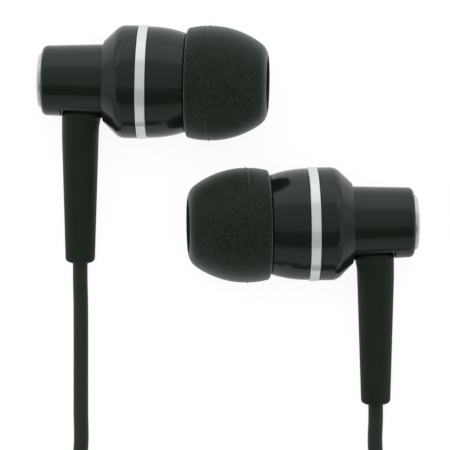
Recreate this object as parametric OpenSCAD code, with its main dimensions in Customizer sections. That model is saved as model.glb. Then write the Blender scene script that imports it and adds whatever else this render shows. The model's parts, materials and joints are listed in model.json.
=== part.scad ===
// Wired in-ear earphones: two mirrored earpieces lying on a table, their cords
// wound up for storage, a splitter and a 3.5 mm jack plug.
// Millimetres, +Z up. The origin is on the table, below the middle of the two earpieces.
//
// Each earpiece is modelled along its own axis, local +Z, from the end cap towards the
// ear tip, with the strain relief along local -Y. "place_earpiece" lays it on the table.

/* [Earpieces on the table] */
// Distance between the two cords where they leave the earpieces
earpiece_pitch = 31.6; // [31:0.1:36]
// How much lower on the table the right earpiece lies
earpiece_step = 15.3; // [14.5:0.1:20]
// Upward tilt of the ear tip end, in degrees
tip_lift = 3.6; // [1:0.1:5]
// Turn of the ear tip end towards the strain relief, in degrees
tip_droop = 1; // [0:0.1:2]

/* [End cap] */
// Radius of the metal cap let into the neck
cap_r = 2.95; // [2.6:0.01:3]
// Height of the cap's dome above the neck's rim
cap_dome = 0.56; // [0.3:0.01:0.9]
// Depth of the cap's edge in the neck
cap_edge = 0.78; // [0.5:0.01:1.1]

/* [Rear housing] */
// Width of the neck's rear face round the cap, before its rounding
neck_rim = 0.1; // [0.05:0.01:0.3]
// How much the neck widens towards the cone
neck_taper = 0.16; // [0:0.01:0.3]
// Length of the neck
neck_len = 6.59; // [6.4:0.01:9]
// Rounding of the neck's rear edge
neck_edge = 0.6; // [0.2:0.01:0.6]
// Wall of the neck at its rear
neck_wall = 0.95; // [0.9:0.01:1.1]
// Height of the step from the neck to the cone
cone_step = 0.39; // [0.2:0.01:0.5]
// Rise of the cone's first facet
cone_first_rise = 0.88; // [0.7:0.01:1]
// Length of the cone's first facet
cone_first_len = 1.15; // [1:0.01:1.6]
// Length of the cone's second facet
cone_second_len = 0.65; // [0.5:0.01:1]
// Wall of the back shell and the trim ring round the spigot
shell_wall = 0.57; // [0.5:0.01:0.8]
// Length of the back shell
shell_len = 1.9; // [1.85:0.01:3]
// Wall of the cone
housing_wall = 0.85; // [0.7:0.01:0.95]

/* [Trim ring] */
// Width of the bright ring
ring_w = 1.1; // [0.8:0.01:1.4]
// How far the ring stands proud of the shell
ring_proud = 0.05; // [0:0.01:0.15]
// Gap on each side of the ring
ring_gap = 0.05; // [0.02:0.01:0.08]

/* [Front housing] */
// Length of the tapered front shell
front_len = 3.9; // [3.7:0.01:4.6]
// Radius of the arc that the front shell tapers along
front_arc_r = 9.26; // [8.5:0.01:14]
// Wall of the spigot that the ring and the back shell seat on
spigot_wall = 0.4; // [0.3:0.01:0.45]
// Length of the spigot
spigot_len = 2.35; // [2.1:0.01:2.5]
// Radius of the nozzle's stem
nozzle_r = 2.3; // [2.2:0.01:2.38]
// How far the nozzle's lip stands out of its stem
nozzle_lip_h = 0.2; // [0.1:0.01:0.3]
// Radius of the sound bore
nozzle_bore_r = 1.6; // [1.3:0.01:1.75]
// Length of the nozzle
nozzle_len = 5.65; // [5.2:0.01:5.8]
// Length of the nozzle's lip
nozzle_lip_len = 1.1; // [0.8:0.01:1.6]
// Depth of the recess that holds the nozzle screen
screen_recess = 0.4; // [0.3:0.01:0.6]
// Thickness of the nozzle screen
screen_t = 0.15; // [0.1:0.01:0.25]

/* [Driver] */
// Radius of the driver's frame
driver_r = 5; // [4.8:0.01:5.05]
// Depth of the driver's seat in the front shell
seat_depth = 1.2; // [1.1:0.01:1.4]
// Thickness of the perforated driver cover
cover_t = 0.35; // [0.25:0.01:0.5]
// Length of the steel yoke
yoke_len = 2.5; // [2.3:0.01:2.6]
// Wall of the yoke
yoke_wall = 0.55; // [0.4:0.01:0.6]
// Thickness of the yoke's floor
yoke_floor = 0.6; // [0.4:0.01:0.7]
// How far the pole plate stands out of the magnet
pole_overhang = 0.05; // [0:0.01:0.2]
// Thickness of the pole plate
pole_t = 0.5; // [0.3:0.01:0.7]
// Inner radius of the voice coil
voice_coil_r = 2.78; // [2.6:0.01:2.9]
// Winding thickness of the voice coil
voice_coil_t = 0.24; // [0.15:0.01:0.26]
// Clearance on each side of the voice coil
coil_gap = 0.13; // [0.1:0.01:0.16]
// Length of the voice coil
voice_coil_len = 1.2; // [0.8:0.01:1.25]
// Thickness of the diaphragm film
film_t = 0.1; // [0.06:0.01:0.12]
// Height of the diaphragm's dome
dome_h = 0.15; // [0.05:0.01:0.18]
// Clearance in front of and behind the diaphragm's edge
film_gap = 0.3; // [0.25:0.01:0.35]
// Thickness of the frame's floor
frame_floor = 0.7; // [0.5:0.01:0.8]
// Number of vents in the frame's floor
vent_count = 6; // [4:1:8]
// Radius of each frame vent
vent_r = 0.35; // [0.2:0.01:0.4]
// Thickness of the felt that damps the vents
felt_t = 0.25; // [0.15:0.01:0.4]
// Thickness of the terminal board
board_t = 0.35; // [0.2:0.01:0.5]

/* [Ear tip] */
// Largest radius of the ear tip
tip_r = 6.18; // [5.9:0.01:6.2]
// Length of the ear tip beyond the nozzle
tip_nose = 3.45; // [3.2:0.01:3.8]
// Distance from the ear tip's rear rim to its widest place
tip_widest = 2.4; // [2.2:0.01:3]
// Radius of the arc of the ear tip's side
tip_arc_r = 9.4; // [9.2:0.01:11]
// Wall of the ear tip's skirt
skirt_wall = 0.75; // [0.6:0.01:0.85]
// Wall of the sleeve that grips the nozzle
sleeve_wall = 0.75; // [0.6:0.01:0.9]
// Rounding of the skirt's rear rim
rim_round = 0.9; // [0.5:0.01:0.95]
// Width of the lip round the sound mouth
mouth_lip = 1.2; // [1.1:0.01:1.6]
// Radius of the sound channel's throat
throat_r = 2; // [1.6:0.01:2.2]

/* [Strain relief] */
// Distance from the cap's top to the strain relief's axis
relief_at = 4.69; // [4.5:0.01:4.9]
// Distance from the earpiece's axis to the strain relief's end
relief_reach = 20; // [17:0.1:24]
// Radius of the strain relief below the neck
relief_top_r = 1.92; // [1.8:0.01:2]
// Radius of the strain relief at its end
relief_end_r = 1.6; // [1.4:0.01:1.7]
// Length of the flare below the neck
flare_len = 2.4; // [1.5:0.1:3.5]
// How far the flare stands out on the cone's side
flare_out = 0.28; // [0.1:0.01:0.3]
// Radius of the strain relief's grommet in the neck's wall
grommet_r = 1.3; // [1.1:0.01:1.4]
// Radius of the grommet's flange inside the neck
flange_r = 1.75; // [1.6:0.01:1.8]
// Radius of the knot that stops the cord inside the neck
knot_r = 1.2; // [1.05:0.01:1.25]
// Half the thickness of each of the driver's two leads
lead_r = 0.15; // [0.1:0.01:0.16]

/* [Cords and splitter] */
// Diameter of the two branch cords
branch_d = 1.6; // [1.5:0.01:1.6]
// Diameter of the main cord
main_d = 2; // [1.8:0.01:2]
// Spacing of a coil's turns beyond the cord's diameter
turn_gap = 0.45; // [0.42:0.01:0.48]
// Thickness of each coil's tie
tie_t = 0.4; // [0.3:0.01:0.6]
// Width of each coil's tie
tie_w = 3; // [2:0.1:4]
// Clearance between a coil and its tie
tie_gap = 0.25; // [0.2:0.01:0.3]
// Length of the splitter
splitter_len = 16; // [15:0.1:16]
// Length of the splitter's straight head
splitter_head = 7; // [4:0.1:9]
// Distance between the two branches in the splitter
branch_pitch = 2.2; // [2.1:0.01:2.4]
// Wall of the splitter round the cords
splitter_wall = 0.9; // [0.7:0.01:1.1]

/* [Jack plug] */
// Radius of the plug's shank
shank_r = 1.75; // [1.75:0.01:1.8]
// Length of the shank from the grip to the point
shank_len = 14; // [13.5:0.1:14]
// Radius of the grip at the shank
grip_r = 3.9; // [3.5:0.01:4.2]
// Length of the grip
grip_len = 15; // [14:0.1:15]
// Length of the plug's own strain relief
boot_len = 9; // [8:0.1:9]
// Radius of the plug's strain relief at the grip
boot_r = 2.5; // [2.2:0.01:2.8]
// Number of grooves in the plug's strain relief
boot_grooves = 4; // [2:1:5]
// Width of each insulating band
band_w = 0.6; // [0.4:0.01:0.8]
// Length of the ring contact
ring_contact_len = 2.2; // [1.8:0.01:2.6]
// Length of the tip contact
tip_contact_len = 3.6; // [3.3:0.01:4]

/* [Hidden] */

$fn = 72;

// Small fits
seat_gap = 0.05; // between pieces that are pushed together
cut_over = 1; // how far a cutter runs past the face it cuts

// Stations along an earpiece's axis, from the top of the cap's dome
neck_start = cap_dome;
neck_end = neck_start + neck_len;
cone_middle = neck_end + cone_first_len;
shell_start = cone_middle + cone_second_len;
shell_end = shell_start + shell_len;
front_start = shell_end + ring_w;
front_end = front_start + front_len;
seat_at = front_start + seat_depth;
spigot_start = front_start - spigot_len;
nozzle_end = front_end + nozzle_len;
tip_seat_gap = 0.25;
tip_start = front_end + tip_seat_gap;
tip_middle = tip_start + tip_widest;
tip_end = nozzle_end + tip_nose;

// Radii of the neck and the cone, outwards from the cap
cap_recess_r = cap_r + seat_gap;
neck_rear_r = cap_recess_r + neck_rim + neck_edge;
neck_front_r = neck_rear_r + neck_taper;
neck_bore_r = neck_rear_r - neck_wall;
cone_start_r = neck_front_r + cone_step;
cone_middle_r = cone_start_r + cone_first_rise;

// Radii of the shells, outwards from the driver
driver_bore_r = driver_r + seat_gap;
spigot_r = driver_bore_r + spigot_wall;
shell_bore_r = spigot_r + seat_gap;
shell_r = shell_bore_r + shell_wall;
cavity_r = driver_r;

// Radii of the nozzle and the ear tip's sleeve
nozzle_lip_r = nozzle_r + nozzle_lip_h;
tip_bore_r = nozzle_lip_r + seat_gap;
sleeve_r = tip_bore_r + sleeve_wall;
screen_r = nozzle_lip_r - 0.45;

// Radii of the motor, on both sides of the voice coil
pole_r = voice_coil_r - coil_gap;
magnet_r = pole_r - pole_overhang;
yoke_r = voice_coil_r + voice_coil_t + coil_gap + yoke_wall;

// Stations inside the driver, back from its seat
cover_start = seat_at - cover_t;
film_start = cover_start - film_gap - film_t;
pole_end = film_start - film_gap - 0.1;
frame_floor_end = film_start - film_gap;
frame_start = frame_floor_end - frame_floor;
yoke_start = pole_end - yoke_len;
magnet_start = yoke_start + yoke_floor;
magnet_end = pole_end - pole_t;
film_r = driver_r - 0.48;
frame_rim_r = film_r + 0.1;

// Height of the earpiece's axis over the table at the strain relief, and the roll that
// brings the strain relief's end down onto the table
axis_z = shell_r * cos(tip_lift) - (shell_start - relief_at) * sin(tip_lift);
relief_roll = asin((axis_z - relief_end_r * 0.977) / relief_reach);
relief_drop = relief_reach * cos(relief_roll) + relief_end_r * sin(relief_roll);

// Place of each earpiece, with the middle of the pair over the origin
pair_x = earpiece_pitch / 2;
left_y = (earpiece_step + relief_drop - tip_r) / 2;
right_y = left_y - earpiece_step;

// ---------------------------------------------------------------- placing

module place_earpiece(side) {
    mirror([side == "right" ? 1 : 0, 0, 0])
        translate([-pair_x, side == "right" ? right_y : left_y, axis_z])
            rotate([0, 0, -tip_droop])
                rotate([0, -tip_lift, 0])
                    rotate([relief_roll, 0, 0])
                        rotate([0, 90, 0])
                            translate([0, 0, -relief_at])
                                children();
}

// The same placing for a point of the left earpiece, or of the mirrored right one
function rolled(p) = [p[2] - relief_at,
    p[1] * cos(relief_roll) + p[0] * sin(relief_roll),
    p[1] * sin(relief_roll) - p[0] * cos(relief_roll)];
function lifted(p) = [p[0] * cos(tip_lift) - p[2] * sin(tip_lift), p[1],
    p[0] * sin(tip_lift) + p[2] * cos(tip_lift)];
function drooped(p) = [p[0] * cos(tip_droop) + p[1] * sin(tip_droop),
    p[1] * cos(tip_droop) - p[0] * sin(tip_droop), p[2]];
function on_table(p, y) = drooped(lifted(rolled(p))) + [-pair_x, y, axis_z];

// ---------------------------------------------------------------- shape helpers

// Points along an arc from angle a to angle b, as [radius, station] pairs
function arc(centre, r, a, b, steps) =
    [for (i = [0:steps]) let (t = a + (b - a) * i / steps)
        centre + r * [cos(t), sin(t)]];

// A ring of rectangular section
module washer(inner, outer, from, to) {
    translate([0, 0, from])
        difference() {
            cylinder(r = outer, h = to - from);
            translate([0, 0, -cut_over])
                cylinder(r = inner, h = to - from + 2 * cut_over);
        }
}

// Direction of a path at point i
function tangent(path, i) =
    let (d = path[min(i + 1, len(path) - 1)] - path[max(i - 1, 0)]) d / norm(d);

// A closed tube through the ring centres of a path that never runs upright
module tube(path, radius, sides) {
    rings = len(path);
    points = [for (i = [0:rings - 1])
        let (t = tangent(path, i), c = cross(t, [0, 0, 1]), s = c / norm(c), u = cross(s, t))
            for (k = [0:sides - 1]) let (a = 360 * (k + 0.5) / sides)
                path[i] + radius * (cos(a) * s + sin(a) * u)];
    walls = [for (i = [0:rings - 2]) for (k = [0:sides - 1])
        let (a = i * sides + k, b = i * sides + (k + 1) % sides)
            each [[a, b, b + sides], [a, b + sides, a + sides]]];
    first = [for (k = [1:sides - 2]) [0, k + 1, k]];
    base = (rings - 1) * sides;
    last = [for (k = [1:sides - 2]) [base, base + k, base + k + 1]];
    polyhedron(points = points, faces = concat(walls, first, last));
}

function length_of(path) =
    let (steps = [for (i = [1:len(path) - 1]) norm(path[i] - path[i - 1])])
        steps * [for (s = steps) 1];

// ---------------------------------------------------------------- round coils
// A coil is [centre, mean radius, height of its lowest turn, turns, layers, cord
// diameter, start angle]. It winds anticlockwise: in along its first layer, up in the
// half turn where the spiral reverses, out along the next, and so on.

rings_per_turn = 24;
function coil_pitch(c) = c[5] + turn_gap;
function layer_turns(c) = c[3] / c[4];
function coil_outer_r(c) = c[1] + coil_pitch(c) * layer_turns(c) / 2;
function smooth_step(t) = let (s = min(max(t, 0), 1)) s * s * (3 - 2 * s);
function layer_at(c, t) =
    let (climbs = [for (k = [1:c[4] - 1]) smooth_step(2 * (t - k * layer_turns(c)) + 0.5)])
        climbs * [for (s = climbs) 1];
function radius_at(c, t) =
    let (n = layer_turns(c), k = min(floor(t / n), c[4] - 1), f = t - k * n)
        coil_outer_r(c) - coil_pitch(c) * (k % 2 == 0 ? f : n - f);
function coil_point(c, t) =
    let (a = c[6] + 360 * t, r = radius_at(c, t))
        [c[0][0] + r * cos(a), c[0][1] + r * sin(a), c[2] + coil_pitch(c) * layer_at(c, t)];
function coil_turns(c) = [for (i = [0:rings_per_turn * c[3]]) coil_point(c, i / rings_per_turn)];

// The coil's ends run straight for one diameter
function flat_unit(v) = [v[0], v[1], 0] / norm([v[0], v[1]]);
function entry_dir(c) = flat_unit(coil_point(c, 0.002) - coil_point(c, 0));
function exit_dir(c) = flat_unit(coil_point(c, c[3]) - coil_point(c, c[3] - 0.002));
function coil_entry(c, back = 1) = coil_point(c, 0) - back * c[5] * entry_dir(c);
function coil_exit(c, on = 1) = coil_point(c, c[3]) + on * c[5] * exit_dir(c);
function coil_path(c) = concat([coil_entry(c)], coil_turns(c), [coil_exit(c)]);

// Least gap between two places of a coil more than half a turn apart
function least_gap(c) =
    let (p = coil_turns(c), n = len(p), half = rings_per_turn / 2)
        min([for (i = [0:n - 1 - half]) for (j = [i + half:n - 1]) norm(p[j] - p[i])]) - c[5];

module wound_coil(c, name) {
    echo(coil = name, least_gap_mm = least_gap(c), length_mm = length_of(coil_path(c)));
    color("#2b312c") tube(coil_path(c), c[5] / 2, 6);
}

// The tie round a coil's bundle at one angle, with a rounded rectangular section
module bundle_tie(c, angle) {
    first = (angle - c[6]) / 360 - floor((angle - c[6]) / 360);
    radii = [for (t = [first:1:c[3]]) radius_at(c, t)];
    inside = c[5] / 2 + tie_gap;
    low = min(radii) - inside;
    high = max(radii) + inside;
    bottom = c[2] - inside;
    top = c[2] + coil_pitch(c) * (c[4] - 1) + inside;
    translate([c[0][0], c[0][1], 0])
        rotate([0, 0, angle])
            translate([0, tie_w / 2, 0])
                rotate([90, 0, 0])
                    linear_extrude(tie_w)
                        difference() {
                            rounded_box(low - tie_t, high + tie_t, bottom - tie_t,
                                top + tie_t, inside + tie_t);
                            rounded_box(low, high, bottom, top, inside);
                        }
}

module rounded_box(x0, x1, y0, y1, r) {
    translate([x0 + r, y0]) square([x1 - x0 - 2 * r, y1 - y0]);
    translate([x0, y0 + r]) square([x1 - x0, y1 - y0 - 2 * r]);
    for (x = [x0 + r, x1 - r], y = [y0 + r, y1 - r])
        translate([x, y]) circle(r = r, $fn = 32);
}

// The right branch is written as its mirror image, as the right earpiece is
module mirrored() {
    mirror([1, 0, 0]) children();
}

module branch_cord(route) {
    color("#2b312c") tube(route, branch_d / 2, 8);
}

module main_cord(route) {
    color("#2b312c") tube(route, main_d / 2, 8);
}

module coil_tie(c, angle) {
    color("#202422") bundle_tie(c, angle);
}

coil_lift = tie_t + tie_gap;
left_wound = [[-12.8, -42], 9, branch_d / 2 + coil_lift, 4.25, 2, branch_d, 180];
right_wound = [[-13.2, -42], 9.55, branch_d / 2 + coil_lift, 4.25, 2, branch_d, 180];
main_wound = [[-9.5, -104], 11, main_d / 2 + coil_lift, 12.5, 4, main_d, 90];

// ---------------------------------------------------------------- cord routes
// The right branch is written as its mirror image, like the right earpiece.

splitter_top = -65;
splitter_bottom = splitter_top - splitter_len;
splitter_z = main_d / 2 + splitter_wall;
plug_x = 17;
plug_start = -106;
plug_z = grip_r;

function relief_exit(y, past = 0) = on_table([0, -relief_reach - past, relief_at], y);

left_upper_route = concat(
    [relief_exit(left_y), relief_exit(left_y, branch_d)],
    [[-15.9, -9.6, 0.9], [-15.8, -13, 0.8], [-15.8, -17, 0.8], [-15.8, -21, 0.8],
     [-15.8, -25, 0.8], [-16.1, -27.1, 0.8], [-16.9, -29, 0.8], [-18.2, -30.7, 0.9],
     [-19.9, -31.9, 1], [-21.7, -33.1, 1.1], [-23, -34.8, 1.2], [-23.8, -36.7, 1.3]],
    [coil_entry(left_wound, 2), coil_entry(left_wound)]);

right_upper_route = concat(
    [relief_exit(right_y), relief_exit(right_y, branch_d)],
    [[-15.9, -25, 0.9], [-16.2, -27.2, 0.8], [-17.1, -29.1, 0.8], [-18.6, -30.8, 0.9],
     [-20.5, -31.9, 1], [-22.3, -33, 1.1], [-23.8, -34.7, 1.2], [-24.7, -36.6, 1.3]],
    [coil_entry(right_wound, 2), coil_entry(right_wound)]);

left_lower_route = concat(
    [coil_exit(left_wound), coil_exit(left_wound, 2)],
    [[-6.8, -54.1, 3.2], [-4.2, -55.9, 2.9], [-2.4, -58.2, 2.5], [-1.4, -60.8, 2.1]],
    [[-branch_pitch / 2, splitter_top + branch_d, splitter_z],
     [-branch_pitch / 2, splitter_top, splitter_z]]);

right_lower_route = concat(
    [coil_exit(right_wound), coil_exit(right_wound, 2)],
    [[-7.1, -54.6, 3.2], [-4.4, -56.2, 2.9], [-2.5, -58.4, 2.5], [-1.4, -60.9, 2.1]],
    [[-branch_pitch / 2, splitter_top + branch_d, splitter_z],
     [-branch_pitch / 2, splitter_top, splitter_z]]);

main_upper_route = concat(
    [[0, splitter_bottom, splitter_z], [0, splitter_bottom - main_d, splitter_z]],
    [[-0.8, -86.2, 1.8], [-2.8, -88.3, 1.7]],
    [coil_entry(main_wound, 2), coil_entry(main_wound)]);

main_lower_route = concat(
    [coil_exit(main_wound), coil_exit(main_wound, 2)],
    [[-1, -119.2, 8.4], [3.6, -119.2, 7.7], [8.1, -118.4, 6.9], [12.6, -116, 6.1],
     [15.8, -112.2, 5.1]],
    [[plug_x, plug_start - main_d, plug_z], [plug_x, plug_start, plug_z]]);

// ---------------------------------------------------------------- earpiece pieces

module end_cap() {
    ball_r = (cap_r * cap_r + cap_dome * cap_dome) / (2 * cap_dome);
    half = asin(cap_r / ball_r);
    bottom = neck_start + cap_edge;
    color("silver")
        rotate_extrude()
            polygon(concat(arc([0, ball_r], ball_r, -90, half - 90, 8),
                [[cap_r, bottom], [0, bottom]]));
}

// Half the width of the bevel between the cone and the back shell
shell_bevel = 0.05;

// The neck, the cone and the start of the back shell, as [radius, station] pairs
housing_outline = concat(
    arc([neck_rear_r - neck_edge, neck_start + neck_edge], neck_edge, -90, 0, 5),
    [[neck_front_r, neck_end], [cone_start_r, neck_end], [cone_middle_r, cone_middle],
     [shell_r - 1.4 * shell_bevel, shell_start - shell_bevel],
     [shell_r, shell_start + shell_bevel]]);

module rear_housing_body() {
    inner_middle_r = cone_middle_r - housing_wall;
    rotate_extrude()
        polygon(concat(
            [[cap_recess_r, neck_start]],
            housing_outline,
            [[shell_r, shell_end],
             [shell_bore_r, shell_end], [shell_bore_r, spigot_start - seat_gap],
             [cavity_r, spigot_start - seat_gap], [cavity_r, shell_start + 0.25],
             [inner_middle_r, cone_middle + 0.15], [neck_bore_r, neck_end + 0.35],
             [neck_bore_r, neck_start + cap_edge + 0.02],
             [cap_recess_r, neck_start + cap_edge + 0.02]]));
}

module rear_housing() {
    color("#1c211d")
        difference() {
            rear_housing_body();
            translate([0, 0, relief_at])
                rotate([90, 0, 0])
                    cylinder(r = grommet_r + seat_gap, h = neck_front_r + cut_over);
        }
}

module trim_ring() {
    color("#dfe3e0")
        washer(shell_bore_r, shell_r + ring_proud, shell_end + ring_gap, front_start - ring_gap);
}

module front_housing() {
    taper_end = asin(front_len / front_arc_r);
    mouth_at = nozzle_end - screen_recess;
    cavity_end = front_end - 0.55;
    color("#181d1a")
        rotate_extrude()
            polygon(concat(
                [[driver_bore_r, spigot_start], [spigot_r, spigot_start],
                 [spigot_r, front_start]],
                arc([shell_r - front_arc_r, front_start], front_arc_r, 0, taper_end, 8),
                [[nozzle_r + 0.3, front_end], [nozzle_r, front_end + 0.2],
                 [nozzle_r, nozzle_end - nozzle_lip_len - 0.15],
                 [nozzle_lip_r, nozzle_end - nozzle_lip_len],
                 [nozzle_lip_r, nozzle_end - 0.2], [nozzle_lip_r - 0.15, nozzle_end],
                 [screen_r + seat_gap, nozzle_end], [screen_r + seat_gap, mouth_at],
                 [nozzle_bore_r, mouth_at], [nozzle_bore_r, cavity_end],
                 [driver_r - 1.6, cavity_end - 0.3], [driver_r - 0.5, seat_at + 0.7],
                 [driver_r - 0.5, seat_at], [driver_bore_r, seat_at]]));
}

module nozzle_screen() {
    from = nozzle_end - screen_recess + 0.02;
    color("gray")
        translate([0, 0, from])
            cylinder(r = screen_r, h = screen_t);
}

module ear_tip() {
    centre_r = tip_r - tip_arc_r;
    inner_r = tip_arc_r - skirt_wall;
    rim_at = tip_start + rim_round;
    rim_r = centre_r + sqrt(tip_arc_r * tip_arc_r - pow(tip_middle - rim_at, 2));
    nose_at = tip_end - 0.55;
    nose_angle = asin((nose_at - tip_middle) / tip_arc_r);
    nose_r = centre_r + tip_arc_r * cos(nose_angle);
    mouth_r = nose_r - mouth_lip;
    cavity_end = tip_end - 3;
    cavity_angle = asin((cavity_end - tip_middle) / inner_r);
    rear_angle = -asin((tip_middle - tip_start - 0.4) / inner_r);
    cavity_end_r = centre_r + inner_r * cos(cavity_angle);
    cavity_round = min(0.5, 0.4 * (cavity_end_r - sleeve_r));
    color("#2a302c")
        rotate_extrude()
            polygon(concat(
                arc([rim_r - rim_round, rim_at], rim_round, -90, 0, 6),
                arc([centre_r, tip_middle], tip_arc_r,
                    -asin((tip_middle - rim_at) / tip_arc_r) + 1, nose_angle, 14),
                [[nose_r - 0.38, tip_end - 0.2], [nose_r - 0.7, tip_end - 0.04],
                 [mouth_r + 0.25, tip_end], [mouth_r + 0.05, tip_end - 0.04],
                 [mouth_r - 0.05, tip_end - 0.2], [throat_r + 0.45, tip_end - 1.3],
                 [throat_r, tip_end - 2.6], [throat_r, nozzle_end + 0.3],
                 [tip_bore_r, nozzle_end + 0.3], [tip_bore_r, tip_start],
                 [sleeve_r, tip_start], [sleeve_r, cavity_end - cavity_round]],
                arc([sleeve_r + cavity_round, cavity_end - cavity_round], cavity_round,
                    180, 90, 4),
                [[cavity_end_r - 0.8 * cavity_round, cavity_end]],
                arc([centre_r, tip_middle], inner_r, cavity_angle - 2, rear_angle, 10),
                [[rim_r - rim_round - 0.07, tip_start]]));
}

// The strain relief's outline, as radius against distance from the earpiece's axis
module strain_relief() {
    bore_r = branch_d / 2 + seat_gap;
    saddle_gap = 0.03;
    color("#20251f")
        translate([0, 0, relief_at])
            rotate([90, 0, 0]) {
                difference() {
                    union() {
                        rotate_extrude()
                            polygon(concat([[0, 2], [relief_top_r, 2],
                                [relief_top_r, neck_rear_r + flare_len]],
                                arc([relief_end_r - 0.3, relief_reach - 0.3], 0.3, 0, 90, 4),
                                [[0, relief_reach]]));
                        translate([0, flare_out / 2, 2])
                            cylinder(r1 = relief_top_r + flare_out / 2 + 0.05,
                                r2 = relief_top_r - flare_out / 2,
                                h = neck_rear_r + flare_len - 2);
                    }
                    translate([0, 0, -cut_over])
                        cylinder(r = bore_r, h = relief_reach + 2 * cut_over);
                    rotate([-90, 0, 0])
                        translate([0, 0, -relief_at])
                            rotate_extrude()
                                polygon(concat([[0, neck_start]],
                                    [for (p = housing_outline) p + [saddle_gap, 0]],
                                    [[0, shell_start + shell_bevel]]));
                }
                difference() {
                    union() {
                        cylinder(r = grommet_r, h = neck_front_r + 0.3);
                        intersection() {
                            cylinder(r = flange_r, h = neck_rear_r);
                            rotate([90, 0, 0])
                                translate([0, 0, -neck_len / 2])
                                    cylinder(r = neck_bore_r - seat_gap, h = neck_len);
                        }
                    }
                    translate([0, 0, -cut_over])
                        cylinder(r = bore_r, h = neck_rear_r + 2 * cut_over);
                    translate([0, 0, -cut_over])
                        cylinder(r = flange_r + 1, h = 1.7 + cut_over);
                }
            }
}

// The cord inside the strain relief, its knot, and the two leads to the driver
module inner_cord() {
    cord_r = branch_d / 2;
    knot_at = 1.65 - knot_r;
    board_back = frame_start - board_t;
    leads_y = (yoke_r + driver_r) / 2;
    color("#3a2f28") {
        translate([0, 0, relief_at])
            rotate([90, 0, 0])
                rotate_extrude()
                    polygon(concat(arc([0, knot_at], knot_r, -90, acos(cord_r / knot_r), 8),
                        [[cord_r, relief_reach], [0, relief_reach]]));
        for (x = [-0.6, 0.6])
            lead([[x, 0.3 - knot_at, relief_at + 0.5], [x, 2.2, relief_at + 1.6],
                  [x, 2.2, neck_end + 0.3], [x, leads_y, shell_start + 0.1],
                  [x, leads_y, board_back - 0.01 - lead_r]]);
    }
}

// A square lead through points in a plane of constant x
module lead(points) {
    for (i = [0:len(points) - 2]) {
        step = points[i + 1] - points[i];
        translate(points[i])
            rotate([-atan2(step[1], step[2]), 0, 0])
                translate([-lead_r, -lead_r, -lead_r])
                    cube([2 * lead_r, 2 * lead_r, norm(step) + 2 * lead_r]);
    }
}

module driver_frame() {
    color("#30352f")
        difference() {
            rotate_extrude()
                polygon([[yoke_r + 0.02, frame_start], [driver_r, frame_start],
                    [driver_r, cover_start], [frame_rim_r, cover_start],
                    [frame_rim_r, frame_floor_end], [yoke_r + 0.02, frame_floor_end]]);
            for (i = [0:vent_count - 1])
                rotate([0, 0, 360 * i / vent_count])
                    translate([0, -(yoke_r + driver_r) / 2, frame_start - cut_over])
                        cylinder(r = vent_r, h = frame_floor + 2 * cut_over, $fn = 24);
        }
}

module yoke() {
    color("#9aa0a3")
        rotate_extrude()
            polygon([[0, yoke_start], [yoke_r - 0.2, yoke_start], [yoke_r, yoke_start + 0.2],
                [yoke_r, pole_end], [yoke_r - yoke_wall, pole_end],
                [yoke_r - yoke_wall, magnet_start], [0, magnet_start]]);
}

module magnet() {
    color("#70757a")
        translate([0, 0, magnet_start])
            cylinder(r = magnet_r, h = magnet_end - magnet_start);
}

module pole_plate() {
    color("#a9aeb2")
        translate([0, 0, magnet_end])
            cylinder(r = pole_r, h = pole_t);
}

module voice_coil() {
    color("#b5651d")
        washer(voice_coil_r, voice_coil_r + voice_coil_t, film_start - voice_coil_len, film_start);
}

module diaphragm() {
    dome_r = voice_coil_r;
    front = film_start + film_t;
    roll = (dome_r + voice_coil_t + film_r) / 2;
    color("#c8ccd0", 0.6)
        rotate_extrude()
            polygon([[0, film_start], [film_r, film_start], [film_r, front],
                [roll + 0.3, front], [roll, front + dome_h / 2], [roll - 0.3, front],
                [dome_r, front], [dome_r * 0.66, front + dome_h * 0.6],
                [dome_r * 0.33, front + dome_h * 0.93], [0, front + dome_h]]);
}

module driver_cover() {
    color("#8d9296")
        difference() {
            translate([0, 0, cover_start])
                cylinder(r = driver_r, h = cover_t);
            for (i = [0:6])
                rotate([0, 0, 60 * i])
                    translate([i == 6 ? 0 : 2, 0, cover_start - cut_over])
                        cylinder(r = 0.5, h = cover_t + 2 * cut_over, $fn = 24);
        }
}

// A sector of a ring behind the driver frame's floor
module frame_sector(centre_angle, half_angle, thickness) {
    far = 2 * driver_r;
    translate([0, 0, frame_start - thickness])
        linear_extrude(thickness)
            rotate(centre_angle)
                intersection() {
                    difference() {
                        circle(r = driver_r - 0.15);
                        circle(r = yoke_r + 0.15);
                    }
                    polygon(concat([[0, 0]], [for (i = [-4:4])
                        far * [cos(i * half_angle / 4), sin(i * half_angle / 4)]]));
                }
}

module terminal_board() {
    color("#2f6b3c")
        frame_sector(90, 40, board_t);
}

module damping_felt() {
    color("#d8d3c4")
        frame_sector(-90, 136, felt_t);
}

// ---------------------------------------------------------------- splitter and plug

module splitter() {
    top_r = branch_d / 2 + splitter_wall;
    end_r = main_d / 2 + splitter_wall;
    splitter_foot = 1;
    color("#20251f")
        translate([0, splitter_bottom, splitter_z])
            rotate([-90, 0, 0])
                hull() {
                    for (x = [-branch_pitch / 2, branch_pitch / 2])
                        translate([x, 0, splitter_len - splitter_head])
                            cylinder(r = top_r, h = splitter_head, $fn = 32);
                    cylinder(r = end_r, h = splitter_foot, $fn = 32);
                }
}

// The plug's pieces lie along +Y, from the boot to the point
module place_plug() {
    translate([plug_x, plug_start, plug_z])
        rotate([-90, 0, 0])
            children();
}

grip_start = boot_len;
shank_start = grip_start + grip_len;
shank_end = shank_start + shank_len;
tip_contact_start = shank_end - tip_contact_len;
ring_contact_start = tip_contact_start - band_w - ring_contact_len;
sleeve_contact_end = ring_contact_start - band_w;
core_r = 0.9;

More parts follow.
